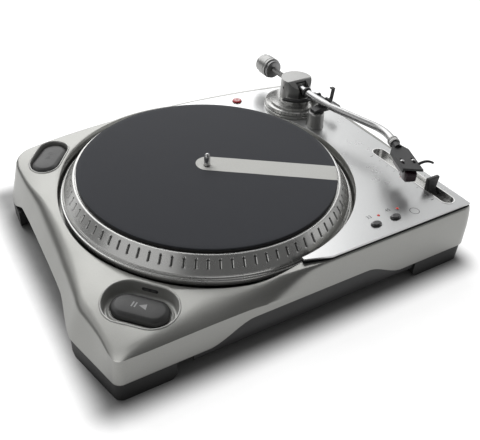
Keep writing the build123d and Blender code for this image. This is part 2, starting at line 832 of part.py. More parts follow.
def speed_foot():
    """Height of the underside of a speed button."""
    return CONTROL_BOARD_Z + BOARD_T + SWITCH_H + SPEED_TRAVEL + SWITCH_GAP


def speed_button(x):
    """Small oval dome with a flange that keeps it under the deck."""
    flange_top = DECK_UNDER - SPEED_FIT
    cap = extrude(Ellipse(SPEED_L / 2, SPEED_W / 2), DECK_Z + SPEED_RISE - speed_foot())
    cap = cap.fillet(SPEED_EDGE_R, cap.faces().sort_by(Axis.Z)[-1].edges())
    flange = extrude(Ellipse(SPEED_L / 2 + SPEED_FLANGE, SPEED_W / 2 + SPEED_FLANGE), SPEED_FLANGE_T)
    flange = Pos(0, 0, flange_top - SPEED_FLANGE_T) * flange
    return Pos(x, SPEED_Y, 0) * (Pos(0, 0, speed_foot()) * cap + flange)


def speed_switches():
    """Switches on the control board under the speed buttons."""
    low = CONTROL_BOARD_Z + BOARD_T
    places = (SPEED_SLOW_X, SPEED_FAST_X)
    return [block(SWITCH_W, SPEED_SWITCH_W, low, low + SWITCH_H, x, SPEED_Y) for x in places]


def speed_lights():
    """Lights beside the speed buttons, standing on the control board."""
    low = CONTROL_BOARD_Z + BOARD_T
    high = DECK_Z + SPEED_LIGHT_RISE
    places = [x + SPEED_LIGHT_DX for x in (SPEED_SLOW_X, SPEED_FAST_X)]
    return [disc(SPEED_LIGHT_R, low, high, x, SPEED_LIGHT_Y) for x in places]


def deck_trim():
    """Black frame between the plinth's ledge and the deck plate."""
    frame = deck_slab(TRIM_INSET, DECK_POCKET_Z, DECK_UNDER)
    return frame - deck_slab(TRIM_INSET + TRIM_WALL, DECK_POCKET_Z - OVER, DECK_Z)


def platter():
    """Cast platter: mat recess, rim, sloping edge for the strobe marks, lip and hub."""
    rim_top = PLATTER_TOP + RIM_RISE
    low = LIP_Z - LIP_H
    under = PLATTER_TOP - PLATTER_WEB
    wall_r = PLATTER_R - PLATTER_WALL
    inner_r = RIM_R - PLATTER_WALL
    points = [
        (SHAFT_R, HUB_BOTTOM),
        (HUB_R, HUB_BOTTOM),
        (HUB_R, under),
        (inner_r, under),
        (wall_r, LIP_Z - LIP_EDGE),
        (wall_r, low),
        (PLATTER_R, low),
        (PLATTER_R, LIP_Z),
        (BEVEL_FOOT_R, LIP_Z + LIP_EDGE),
        (RIM_R + RIM_W, rim_top),
        (RIM_R, rim_top),
        (RIM_R, PLATTER_TOP),
        (SHAFT_R, PLATTER_TOP),
    ]
    return revolve(Plane.XZ * make_face(Polyline(*points, close=True)), Axis.Z)


def spindle():
    """Centre spindle, which turns with the platter."""
    shoulder = SPINDLE_TOP - SPINDLE_TIP_H
    points = [
        (0, SPINDLE_BOTTOM),
        (SHAFT_R, SPINDLE_BOTTOM),
        (SHAFT_R, PLATTER_TOP),
        (SPINDLE_R - SPINDLE_NECK, PLATTER_TOP),
        (SPINDLE_R - SPINDLE_NECK, MAT_TOP),
        (SPINDLE_R, MAT_TOP),
        (SPINDLE_R, shoulder),
        (SPINDLE_TIP_R, SPINDLE_TOP - SPINDLE_TIP_EDGE),
        (SPINDLE_TIP_R - SPINDLE_TIP_EDGE, SPINDLE_TOP),
        (0, SPINDLE_TOP),
    ]
    return revolve(Plane.XZ * make_face(Polyline(*points, close=True)), Axis.Z)


def motor_stator():
    """Coil board with its ring of coils, on the floor of the platter well."""
    board_top = WELL_FLOOR + STATOR_BOARD_T
    stator = tube(STATOR_BOARD_R, HOUSING_FLANGE_R + BOARD_SCREW_GAP, WELL_FLOOR, board_top)
    for step in range(COIL_COUNT):
        x, y = well_place(COIL_RING_R, step * 360 / COIL_COUNT)
        stator += disc(COIL_R, board_top, board_top + COIL_H, x, y)
    return stator


def bearing_housing():
    """Flanged housing of the main bearing."""
    housing = disc(HOUSING_R, HOUSING_BOTTOM, HOUSING_TOP)
    housing += disc(HOUSING_FLANGE_R, WELL_FLOOR, WELL_FLOOR + HOUSING_FLANGE_T)
    return housing - disc(BUSH_R, HOUSING_BOTTOM + HOUSING_FLOOR_T, HOUSING_TOP + OVER)


def bearing_bush():
    """Bronze bush that the spindle turns in."""
    return tube(BUSH_R, SHAFT_R + BEARING_RUN, SPINDLE_BOTTOM, HOUSING_TOP - BUSH_TOP_DROP)


def thrust_pad():
    """Pad under the spindle's end."""
    return disc(BUSH_R, HOUSING_BOTTOM + HOUSING_FLOOR_T, SPINDLE_BOTTOM - THRUST_GAP)


def fader_liner():
    """Recess of the pitch fader with its slot."""
    floor_low = FADER_FLOOR_Z - FADER_FLOOR_T
    liner = obround(FADER_L, FADER_W, floor_low, DECK_Z + FADER_RIM, FADER_X, FADER_Y, 90)
    inner_l = FADER_L - 2 * FADER_WALL
    inner_w = FADER_W - 2 * FADER_WALL
    liner -= obround(inner_l, inner_w, FADER_FLOOR_Z, DRAFT_TOP, FADER_X, FADER_Y, 90)
    return liner - block(FADER_SLOT_W, FADER_SLOT_L, 0, DRAFT_TOP, FADER_X, FADER_Y)


def fader_body():
    """Sliding resistor under the recess."""
    high = FADER_FLOOR_Z - FADER_FLOOR_T
    length = FADER_TRAVEL + FADER_STEM_Y + 2 * FADER_BODY_END
    body = block(FADER_BODY_W, length, high - FADER_BODY_H, high, FADER_X, FADER_Y)
    return body - block(FADER_SLOT_W, FADER_SLOT_L, high - FADER_BODY_H / 2, DRAFT_TOP, FADER_X, FADER_Y)


def pitch_knob():
    """Fan-shaped slider knob with its stem."""
    y = FADER_Y + FADER_REST
    low = FADER_FLOOR_Z + KNOB_FLOAT
    foot_face = Pos(0, 0, low) * Rectangle(KNOB_W, KNOB_L).face()
    waist_face = Pos(0, 0, low + KNOB_WAIST_H) * Rectangle(KNOB_W, KNOB_WAIST_L).face()
    top_face = Pos(0, 0, low + KNOB_H) * Rectangle(KNOB_TOP_W, KNOB_TOP_L).face()
    fin = loft([foot_face, waist_face, top_face], ruled=True)
    stem_low = FADER_FLOOR_Z - FADER_FLOOR_T - FADER_BODY_H / 2 + 2 * KNOB_FLOAT
    stem = block(FADER_STEM_X, FADER_STEM_Y, stem_low, low + OVER)
    return Pos(FADER_X, y, 0) * (fin + stem)


def power_button():
    """Round power button with a flange that keeps it under the deck."""
    low = DECK_UNDER - POWER_SWITCH_BORE + POWER_TRAVEL + SWITCH_GAP
    cap = disc(POWER_R, low, DECK_Z + POWER_RISE, POWER_X, POWER_Y)
    cap = cap.fillet(POWER_RISE / 2, cap.faces().sort_by(Axis.Z)[-1].edges())
    flange_top = DECK_UNDER - POWER_FIT
    return cap + disc(POWER_R + POWER_FLANGE, flange_top - POWER_FLANGE_T, flange_top, POWER_X, POWER_Y)


def power_switch():
    """Mains switch housing under the power button."""
    bore = POWER_R + POWER_FLANGE + POWER_FIT
    low = DECK_UNDER - POWER_SWITCH_H
    body = disc(bore + POWER_SWITCH_WALL, low, DECK_UNDER, POWER_X, POWER_Y)
    return body - disc(bore, DECK_UNDER - POWER_SWITCH_BORE, DRAFT_TOP, POWER_X, POWER_Y)


def at_pivot(solid):
    """Solid drawn about the arm's pivot, put in place."""
    return Pos(PIVOT_X, PIVOT_Y, 0) * solid


def arm_base():
    """Fixed ring on the deck with the sleeve that guides the arm column."""
    base = disc(BASE_R, DECK_Z, DECK_Z + BASE_H)
    base += disc(SLEEVE_R, SLEEVE_BOTTOM, DECK_Z + BASE_H)
    return at_pivot(base - disc(SLEEVE_BORE + SLIDE_FIT, 0, DRAFT_TOP))


def height_ring():
    """Turning ring that sets the arm's height, notched round its edge."""
    low = DECK_Z + BASE_H + RING_GAP
    ring = tube(RING_R, SLEEVE_BORE + RING_BORE_GAP, low, low + RING_H)
    for step in range(RING_NOTCHES):
        x, y = well_place(RING_R, step * 360 / RING_NOTCHES)
        ring -= disc(RING_NOTCH_R, low - OVER, low + RING_H + OVER, x, y)
    return at_pivot(ring)


def ring_top():
    """Height of the top of the height ring."""
    return DECK_Z + BASE_H + RING_GAP + RING_H


def cue_spot():
    """Place of the cue rod about the arm's pivot."""
    return well_place((CUE_BAR_IN + CUE_BAR_OUT) / 2, CUE_BAR_END)


def arm_column():
    """Column that rises with the height ring and carries the gimbal and the cueing block."""
    disc_low = ring_top() + RING_GAP
    disc_top = disc_low + COLUMN_DISC_T
    column = disc(SLEEVE_BORE, COLUMN_BOTTOM, disc_top)
    column += disc(COLUMN_DISC_R, disc_low, disc_top)
    column += disc(COLUMN_NECK_R, disc_top, COLUMN_NECK_TOP)
    x, y = cue_spot()
    column += block(CUE_BLOCK_W, CUE_BLOCK_W, disc_top, CUE_BLOCK_TOP, x, y)
    pin_x = x + CUE_BLOCK_W / 2
    pin_len = CUE_LEVER_GAP + CUE_LEVER_W
    pin = Rot(0, 90, 0) * Cylinder(CUE_PIN_R, pin_len, align=MIN_BOTTOM)
    column += Pos(pin_x, y, CUE_LEVER_Z) * pin
    column += disc(SKATE_PIN_R, disc_top, disc_top + SKATE_H / 2, SKATE_X, SKATE_Y)
    column -= disc(CUE_ROD_R + PIN_FIT, CUE_ROD_BOTTOM - CUE_RISE, DRAFT_TOP + BACK, x, y)
    return at_pivot(column - disc(SWING_SHAFT_R + BEARING_RUN, SWING_SHAFT_BOTTOM - OVER, DRAFT_TOP))


def cue_lifter():
    """Curved bar on a rod that raises the arm tube."""
    ring = tube(CUE_BAR_OUT, CUE_BAR_IN, CUE_BAR_Z - CUE_BAR_T, CUE_BAR_Z)
    span = CUE_BAR_END - CUE_BAR_START
    reach = 2 * CUE_BAR_OUT
    fan = [(0, 0)]
    for step in range(CUE_FAN_STEPS + 1):
        fan.append(well_place(reach, CUE_BAR_START + span * step / CUE_FAN_STEPS))
    bar = ring & prism(fan, 0, DRAFT_TOP + BACK, Plane.XY)
    x, y = cue_spot()
    bar += disc((CUE_BAR_OUT - CUE_BAR_IN) / 2, CUE_BAR_Z - CUE_BAR_T, CUE_BAR_Z, x, y)
    return at_pivot(bar + disc(CUE_ROD_R, CUE_ROD_BOTTOM, CUE_BAR_Z - CUE_BAR_T, x, y))


def cue_lever():
    """Lever that works the cue lifter, reaching forward along the deck's edge."""
    x, y = cue_spot()
    mid_x = x + CUE_BLOCK_W / 2 + CUE_LEVER_GAP + CUE_LEVER_W / 2
    hub_r = CUE_PIN_R + CUE_LEVER_T
    hub = Rot(0, 90, 0) * Cylinder(hub_r, CUE_LEVER_W)
    arm = Pos(0, -CUE_LEVER_L / 2, 0) * Box(CUE_LEVER_W, CUE_LEVER_L, CUE_LEVER_T)
    lever = hub + arm - Rot(0, 90, 0) * Cylinder(CUE_PIN_R + PIN_FIT, 2 * CUE_LEVER_W)
    return at_pivot(Pos(mid_x, y, CUE_LEVER_Z) * lever)


def anti_skate_knob():
    """Small dial on the column for the side-pull setting."""
    low = ring_top() + RING_GAP + COLUMN_DISC_T + SKATE_GAP
    knob = disc(SKATE_R, low, low + SKATE_H, SKATE_X, SKATE_Y)
    bore_top = ring_top() + RING_GAP + COLUMN_DISC_T + SKATE_H / 2 + SKATE_GAP
    return at_pivot(knob - disc(SKATE_PIN_R + PIN_FIT, 0, bore_top, SKATE_X, SKATE_Y))


def swing_shaft():
    """Upright shaft of the gimbal, turning in the column."""
    return at_pivot(disc(SWING_SHAFT_R, SWING_SHAFT_BOTTOM, COLUMN_NECK_TOP + SWING_GAP + YOKE_BASE_T))


def gimbal_yoke():
    """Yoke that turns on the column and holds the arm's cross pin between two cheeks."""
    low = COLUMN_NECK_TOP + SWING_GAP
    yoke = disc(YOKE_R, low, YOKE_TOP)
    slot_low = low + YOKE_BASE_T
    yoke -= block(YOKE_SLOT_W, 4 * YOKE_R, slot_low, YOKE_TOP - YOKE_ROOF_T)
    nose = [
        (-2 * YOKE_R, YOKE_TOP - YOKE_NOSE_DROP),
        (-YOKE_R, YOKE_TOP - YOKE_NOSE_DROP),
        (-YOKE_R / 3, YOKE_TOP),
        (-YOKE_R / 3, YOKE_TOP + YOKE_R),
        (-2 * YOKE_R, YOKE_TOP + YOKE_R),
    ]
    yoke -= prism(nose, -2 * YOKE_R, 2 * YOKE_R, Plane.YZ)
    yoke -= Pos(0, 0, ARM_Z) * Rot(0, 90, 0) * Cylinder(PIN_R + PIN_FIT, 4 * YOKE_R)
    return at_pivot(yoke - disc(SWING_SHAFT_R, 0, slot_low + OVER))


def pivot_block():
    """Block that joins the arm tube, the rear shaft and the cross pin."""
    body = block(BLOCK_W, BLOCK_L, ARM_Z - BLOCK_H / 2, ARM_Z + BLOCK_H / 2)
    return at_pivot(body - Pos(0, 0, ARM_Z) * Rot(0, 90, 0) * Cylinder(PIN_R, 2 * BLOCK_W))


def pivot_pin():
    """Cross pin on which the arm tilts."""
    length = 2 * (YOKE_R - PIN_END) - 2 * PIN_END
    return at_pivot(Pos(0, 0, ARM_Z) * Rot(0, 90, 0) * Cylinder(PIN_R, length))


def tube_path():
    """Centre line of the S-shaped tube."""
    points = [
        (0, -BLOCK_L / 2, ARM_Z),
        (0, BEND_OUT_Y, ARM_Z),
        (BEND_BACK_X, BEND_BACK_Y, ARM_Z),
        (TUBE_END.X, TUBE_END.Y, ARM_Z),
    ]
    return FilletPolyline(*points, radius=[BEND_OUT_R, BEND_BACK_R])


def arm_tube():
    """Chromed S-shaped arm tube."""
    path = tube_path()
    start = Plane(origin=path @ 0, z_dir=path % 0)
    ring = start * (Circle(TUBE_R) - Circle(TUBE_BORE))
    return at_pivot(sweep(ring, path=path))


def along_shell(solid):
    """Solid drawn along -Y from the tube's end, turned by the offset angle and put in place."""
    return at_pivot(Pos(TUBE_END.X, TUBE_END.Y, ARM_Z) * Rot(0, 0, -OFFSET_ANGLE) * solid)


def y_cylinder(radius, y_low, y_high):
    """Cylinder along Y between two places."""
    mid = (y_low + y_high) / 2
    return Pos(0, mid, 0) * Rot(90, 0, 0) * Cylinder(radius, y_high - y_low)


def tube_ring():
    """Small stop ring on the tube beside the gimbal."""
    ring = y_cylinder(RING_CLIP_R, RING_CLIP_Y - RING_CLIP_W, RING_CLIP_Y)
    ring -= y_cylinder(TUBE_R, RING_CLIP_Y - 2 * RING_CLIP_W, RING_CLIP_Y + RING_CLIP_W)
    return at_pivot(Pos(0, 0, ARM_Z) * ring)


def headshell_collar():
    """Locking collar round the tube's end."""
    ring = y_cylinder(COLLAR_R, -COLLAR_FIT, COLLAR_L - COLLAR_FIT)
    return along_shell(ring - y_cylinder(TUBE_R + COLLAR_FIT, -COLLAR_L, 2 * COLLAR_L))


def headshell():
    """Flat headshell with a plug, side ribs, two slots and a slanted nose."""
    plug = y_cylinder(TUBE_R, -SHELL_NECK_L, 0)
    half = SHELL_W / 2
    neck = SHELL_NECK_W / 2
    outline = [
        (-neck, -SHELL_NECK_L / 2),
        (neck, -SHELL_NECK_L / 2),
        (half, -SHELL_NECK_L - neck),
        (half, -SHELL_L - SHELL_END_CUT),
        (-half, -SHELL_L),
        (-half, -SHELL_NECK_L - neck),
    ]
    plate = prism(outline, -SHELL_T / 2, SHELL_T / 2, Plane.XY)
    rib_y = -SHELL_NECK_L - neck
    rib_l = SHELL_L + rib_y
    for side in (-1, 1):
        rib = Box(SHELL_RIB_T, rib_l, SHELL_RIB_H, align=(Align.CENTER, Align.MAX, Align.MAX))
        plate += Pos(side * (half - SHELL_RIB_T / 2), rib_y, -SHELL_T / 2) * rib
        slot = extrude(SlotOverall(SHELL_SLOT_L, SHELL_SLOT_W), 4 * SHELL_T)
        slot_y = -SHELL_L + CARTRIDGE_FROM_END + CARTRIDGE_L / 3
        plate -= Pos(side * SHELL_SLOT_SPAN / 2, slot_y, -2 * SHELL_T) * Rot(0, 0, 90) * slot
    return along_shell(plug + plate)


def finger_lift():
    """Curved finger lift at the headshell's outer side."""
    start_x = SHELL_W / 2
    y = -SHELL_L + LIFT_FROM_END
    points = [
        (start_x, y, 0),
        (start_x + LIFT_OUT / 2, y, 0),
        (start_x + LIFT_OUT, y - LIFT_UP, LIFT_UP),
    ]
    path = FilletPolyline(*points, radius=LIFT_OUT / 3)
    start = Plane(origin=path @ 0, z_dir=path % 0)
    return along_shell(sweep(start * Circle(LIFT_R), path=path))


def cartridge():
    """Cartridge body under the headshell, sloping up at the front."""
    high = -SHELL_T / 2
    low = high - CARTRIDGE_H
    front = -SHELL_L + CARTRIDGE_FROM_END
    back = front + CARTRIDGE_L
    side = [
        (back, high),
        (back, low),
        (front + CARTRIDGE_L / 3, low),
        (front, low + CARTRIDGE_SLOPE),
        (front, high),
    ]
    return along_shell(prism(side, -CARTRIDGE_W / 2, CARTRIDGE_W / 2, Plane.YZ))


def stylus():
    """Stylus holder with its needle."""
    high = -SHELL_T / 2 - CARTRIDGE_H
    back = -SHELL_L + CARTRIDGE_FROM_END + CARTRIDGE_L / 3 + STYLUS_L
    hung = (Align.CENTER, Align.MAX, Align.MAX)
    holder = Pos(0, back, high) * Box(STYLUS_W, STYLUS_L, STYLUS_H, align=hung)
    needle_low = high - STYLUS_H - NEEDLE_H
    needle_y = back - STYLUS_L + STYLUS_W / 2
    return along_shell(holder + disc(NEEDLE_R, needle_low, needle_low + NEEDLE_H, 0, needle_y))


def rear_shaft():
    """Threaded shaft behind the pivot block."""
    return at_pivot(Pos(0, 0, ARM_Z) * y_cylinder(REAR_SHAFT_R, BLOCK_L / 2, REAR_SHAFT_END))


def force_dial():
    """Numbered ring in front of the counterweight."""
    back = WEIGHT_FRONT - DIAL_GAP
    ring = y_cylinder(DIAL_R, back - DIAL_T, back)
    return at_pivot(Pos(0, 0, ARM_Z) * (ring - y_cylinder(REAR_SHAFT_R + WEIGHT_FIT, 0, WEIGHT_FRONT)))


def counterweight():
    """Counterweight with a stepped rear end."""
    back = WEIGHT_FRONT + WEIGHT_L
    weight = y_cylinder(WEIGHT_R, WEIGHT_FRONT, back - WEIGHT_STEP_L)
    weight += y_cylinder(WEIGHT_R - WEIGHT_STEP, back - WEIGHT_STEP_L, back)
    bore = y_cylinder(REAR_SHAFT_R + WEIGHT_FIT, 0, back + WEIGHT_L)
    return at_pivot(Pos(0, 0, ARM_Z) * (weight - bore))


def arm_rest_pillar():
    """Tapered pillar of the arm rest, on the deck."""
    pillar = Pos(0, 0, DECK_Z) * Cone(REST_R, REST_TOP_R, REST_TOP - DECK_Z, align=MIN_BOTTOM)
    return at_pivot(Pos(REST_X, REST_Y, 0) * pillar)


def cradle_floor():
    """Height of the cradle just under the arm tube."""
    return ARM_Z - TUBE_R - CRADLE_FLOOR_GAP


def arm_rest_cradle():
    """Cradle under the tube, with an upright prong on the outer side."""
    right = TUBE_R + PRONG_GAP + PRONG_W
    points = [
        (-CRADLE_LEFT, REST_TOP),
        (right, REST_TOP),
        (right, PRONG_TOP),
        (right - PRONG_W, PRONG_TOP),
        (right - PRONG_W, cradle_floor()),
        (-TUBE_R, cradle_floor()),
        (-CRADLE_LEFT, cradle_floor() - CRADLE_T),
    ]
    face_y = REST_Y - CRADLE_L / 2
    cradle = prism(points, -face_y - CRADLE_L, -face_y, Plane.XZ)
    pin_x = right - PRONG_W / 2
    hinge = y_cylinder(CLIP_PIN_R + PIN_FIT, -CRADLE_L, CRADLE_L)
    cradle -= Pos(pin_x, REST_Y, clip_axis_z()) * hinge
    notch_w = CLIP_W + 2 * CLIP_GAP
    notch_low = clip_axis_z() - 2 * CLIP_T
    notch = block(2 * PRONG_W, notch_w, notch_low, DRAFT_TOP + BACK, pin_x, REST_Y)
    return at_pivot(cradle - notch)


def clip_axis_z():
    """Height of the clip's hinge."""
    return PRONG_TOP - CLIP_T


def arm_clip():
    """Clip that closes over the tube, drawn standing open, with its hinge pin."""
    pin_x = TUBE_R + PRONG_GAP + PRONG_W / 2
    tip_x = -TUBE_R - CLIP_GAP - CLIP_T
    low = ARM_Z + TUBE_R + CLIP_GAP
    strap = Box(pin_x - tip_x, CLIP_W, CLIP_T, align=(Align.MIN, Align.CENTER, Align.MIN))
    clip = Pos(tip_x, 0, low) * strap
    tip = Box(CLIP_T, CLIP_W, CLIP_TIP, align=(Align.MIN, Align.CENTER, Align.MAX))
    clip += Pos(tip_x, 0, low) * tip
    clip += block(2 * CLIP_T, CLIP_W, clip_axis_z() - CLIP_T, low + CLIP_T, pin_x)
    clip += Pos(pin_x, 0, clip_axis_z()) * y_cylinder(CLIP_PIN_R, -CRADLE_L / 2, CRADLE_L / 2)
    hinge = Axis((pin_x, 0, clip_axis_z()), (0, 1, 0))
    return at_pivot(Pos(0, REST_Y, 0) * clip.rotate(hinge, CLIP_OPEN))


def socket_panel():
    """Recessed panel in the back wall with holes for the sockets."""
    panel = block(PANEL_L, PANEL_T, TRAY_TOP, CEILING_Z - TRAY_GAP, PANEL_X, PANEL_Y - PANEL_T / 2)
    for x in SOCKET_X:
        hole = y_cylinder(SOCKET_BASE_R + SOCKET_FIT, -2 * PANEL_T, PANEL_T)
        panel -= Pos(x, PANEL_Y, SOCKET_Z) * hole
    hole = y_cylinder(GROUND_R + SOCKET_FIT, -2 * PANEL_T, PANEL_T)
    panel -= Pos(GROUND_X, PANEL_Y, SOCKET_Z) * hole
    return panel - Pos(INLET_X, PANEL_Y, SOCKET_Z) * Box(INLET_W, 4 * PANEL_T, INLET_H)


def phono_sockets():
    """Pair of phono sockets."""
    sockets = []
    for x in SOCKET_X:
        body = y_cylinder(SOCKET_BASE_R, -2 * PANEL_T, SOCKET_BASE_OUT)
        body += y_cylinder(SOCKET_R, SOCKET_BASE_OUT, SOCKET_OUT)
        body -= y_cylinder(SOCKET_BORE, 0, 2 * SOCKET_OUT)
        sockets.append(Pos(x, PANEL_Y, SOCKET_Z) * body)
    return Compound(children=sockets)


def ground_terminal():
    """Earth terminal post."""
    post = y_cylinder(GROUND_R, -2 * PANEL_T, SOCKET_OUT)
    return Pos(GROUND_X, PANEL_Y, SOCKET_Z) * post


def mains_inlet():
    """Mains inlet, a cup with its mouth to the rear."""
    cup = Pos(0, -INLET_DEPTH / 2, 0) * Box(INLET_W, INLET_DEPTH, INLET_H)
    mouth_w = INLET_W - 2 * INLET_WALL
    mouth_h = INLET_H - 2 * INLET_WALL
    mouth = Pos(0, -INLET_DEPTH / 2 + INLET_WALL, 0) * Box(mouth_w, INLET_DEPTH, mouth_h)
    return Pos(INLET_X, PANEL_Y, SOCKET_Z) * (cup - mouth)


def main_board():
    """Main circuit board on the tray's posts, with its larger parts."""
    low = TRAY_TOP + MAIN_BOARD_LIFT
    top = low + BOARD_T
    board = block(MAIN_BOARD_L, MAIN_BOARD_W, low, top, MAIN_BOARD_X, MAIN_BOARD_Y)
    for step in (-1, 0, 1):
        x = MAIN_BOARD_X + step * MAIN_BOARD_L / 4
        board += disc(CAPACITOR_R, top, top + CAPACITOR_H, x, MAIN_BOARD_Y)
    return board


def transformer():
    """Mains transformer on the tray."""
    core_top = TRAY_TOP + TRANSFORMER_H
    core_l = TRANSFORMER_L - 2 * TRANSFORMER_CORE
    core = block(core_l, TRANSFORMER_W, TRAY_TOP, core_top, TRANSFORMER_X, TRANSFORMER_Y)
    coil_w = TRANSFORMER_W - 2 * TRANSFORMER_CORE
    coil_top = core_top - TRANSFORMER_COIL_DROP
    return core + block(TRANSFORMER_L, coil_w, TRAY_TOP, coil_top, TRANSFORMER_X, TRANSFORMER_Y)


def mat(radius, z_low, thickness):
    """Round mat with a hole for the spindle."""
    return tube(radius, SPINDLE_R + MAT_BORE_GAP, z_low, z_low + thickness)


def all_parts():
    """Every node by name."""
    front = (FRONT_WELL, WELL_FRONT_L, WELL_FRONT_W, WELL_FRONT_ANGLE + 90, WELL_FRONT_FLOOR)
    rear = (REAR_WELL, WELL_REAR_L, WELL_REAR_W, WELL_REAR_ANGLE + 90, WELL_REAR_FLOOR)
    under = PLATTER_TOP - PLATTER_WEB
    body = plinth_body()
    switches = [start_switch(well[0], well[3], well[4]) for well in (front, rear)]
    return {
        "plinth_shell": plinth_shell(body),
        "plinth_skirt": plinth_skirt(body),
        "deck_plate": deck_plate(),
        "deck_trim": deck_trim(),
        "base_tray": base_tray(),
        "base_screws": base_screws(),
        "front_trim": front_trim(),
        "feet": Compound(children=[foot(x, y) for x in (-1, 1) for y in (-1, 1)]),
        "start_well_front": start_well(*front),
        "start_well_rear": start_well(*rear),
        "start_button_front": start_button(*front, START_FRONT_GAP_L, START_FRONT_GAP_W),
        "start_button_rear": start_button(*rear, START_REAR_GAP_L, START_REAR_GAP_W),
        "button_switches": Compound(children=switches + speed_switches()),
        "indicator_lights": Compound(children=[start_light()] + speed_lights()),
        "control_board": control_board(),
        "speed_button_slow": speed_button(SPEED_SLOW_X),
        "speed_button_fast": speed_button(SPEED_FAST_X),
        "fader_liner": fader_liner(),
        "fader_body": fader_body(),
        "pitch_knob": pitch_knob(),
        "power_button": power_button(),
        "power_switch": power_switch(),
        "platter": platter(),
        "spindle": spindle(),
        "rotor_magnet": tube(MAGNET_IN_R + MAGNET_W, MAGNET_IN_R, under - MAGNET_H, under),
        "rubber_mat": mat(MAT_R, RUBBER_Z, RUBBER_T),
        "slipmat": mat(MAT_R, FELT_Z, FELT_T),
        "motor_stator": motor_stator(),
        "bearing_housing": bearing_housing(),
        "bearing_bush": bearing_bush(),
        "thrust_pad": thrust_pad(),
        "arm_base": arm_base(),
        "height_ring": height_ring(),
        "arm_column": arm_column(),
        "cue_lifter": cue_lifter(),
        "cue_lever": cue_lever(),
        "anti_skate_knob": anti_skate_knob(),
        "gimbal_yoke": gimbal_yoke(),
        "swing_shaft": swing_shaft(),
        "pivot_block": pivot_block(),
        "pivot_pin": pivot_pin(),
        "arm_tube": arm_tube(),
        "tube_ring": tube_ring(),
        "headshell_collar": headshell_collar(),
        "headshell": headshell(),
        "finger_lift": finger_lift(),
        "cartridge": cartridge(),
        "stylus": stylus(),
        "rear_shaft": rear_shaft(),
        "force_dial": force_dial(),
        "counterweight": counterweight(),
        "arm_rest_pillar": arm_rest_pillar(),
        "arm_rest_cradle": arm_rest_cradle(),
        "arm_clip": arm_clip(),
        "socket_panel": socket_panel(),
        "phono_sockets": phono_sockets(),
        "ground_terminal": ground_terminal(),
        "mains_inlet": mains_inlet(),
        "main_board": main_board(),
        "transformer": transformer(),
    }


def main():
    """Write one file for each node."""
    os.makedirs("parts", exist_ok=True)
    for name, solid in all_parts().items():
        export_step(Pos(AXIS_X, AXIS_Y, 0) * solid, f"parts/{name}.step")


main()
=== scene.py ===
import json
import math

import bmesh
import bpy
import numpy as np
from mathutils import Matrix, Vector


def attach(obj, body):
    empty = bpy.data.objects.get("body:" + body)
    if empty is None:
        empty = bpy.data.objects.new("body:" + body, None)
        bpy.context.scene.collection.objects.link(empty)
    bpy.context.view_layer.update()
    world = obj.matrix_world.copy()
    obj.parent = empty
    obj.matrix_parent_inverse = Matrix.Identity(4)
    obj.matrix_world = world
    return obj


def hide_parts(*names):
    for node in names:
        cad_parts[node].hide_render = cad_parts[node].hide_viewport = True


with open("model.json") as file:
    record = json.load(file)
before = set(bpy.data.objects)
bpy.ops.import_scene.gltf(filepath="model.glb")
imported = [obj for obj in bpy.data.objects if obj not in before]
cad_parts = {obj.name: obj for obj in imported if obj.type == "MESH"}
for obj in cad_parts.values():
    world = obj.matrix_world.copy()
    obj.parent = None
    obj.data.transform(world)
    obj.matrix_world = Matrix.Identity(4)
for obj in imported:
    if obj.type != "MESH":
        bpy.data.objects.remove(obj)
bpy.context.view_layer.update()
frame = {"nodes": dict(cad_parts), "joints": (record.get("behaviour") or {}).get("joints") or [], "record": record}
bpy.context.scene.view_settings.view_transform = "Standard"

MM = 0.001
JOINT = {joint["name"]: joint for joint in frame["joints"]}
BODY_OF = {node: body for body, nodes in frame["record"]["behaviour"]["bodies"].items() for node in nodes}
SLOT_OF = {part["node"]: part["material_slot"] for part in frame["record"]["subparts"]}
AXIS = Vector(JOINT["platter_spin"]["pos_m"])
SHIFT = np.array((AXIS.x, AXIS.y, 0.0))
UP = (0, 0, 1)
BACKWARDS = (0, 1, 0)
ARC_POINTS = 24
SIDE_POINTS = 12
WELD_M = 1e-6
DEGENERATE_M = 1e-7

# Camera, in the photograph's frame
IMAGE_W = 480
IMAGE_H = 440
FOCAL_PX = 621.36
CENTRE_PX = (206.505, 225.949)
SENSOR_MM = 36.0
CAMERA_FROM_AXIS_MM = (-296.5, -515.5, 474.0)
CAMERA_RIGHT = Vector((0.8738, -0.4858, 0.0209))
CAMERA_FORWARD = Vector((0.3918, 0.6779, -0.6221))

# All lengths below are millimetres from the platter axis and the floor
# Plinth skin
WELL_R = 169.0
WELL_FLOOR = 50.0
CEILING = 46.0
BEARING_HOLE = 13.2
SKIRT_Z = 22.0
SKIRT_WALL = 5.0
FOOT_ROUND = 0.5
TOP_CLAMP = 77.0
TOP_MID = 72.4
TOP_PER_Y = 0.0637
TOP_PER_X = 0.0257
OUTLINE = [(-193, -187, 10), (239, -187, 16), (239, 150, 20), (-196, 150, 24), (-211, -112, 60)]
CORNER_REACH = 60.0
CORNER_STEPS = 17
EDGE_STEPS = 160
BACK_BOW = 25.0
BOW_FROM_Y = 140.0
BACK_MID_X = 20.0
BACK_HALF = 219.0
BACK_Y = 175.0
SKIN_STEPS = 1080
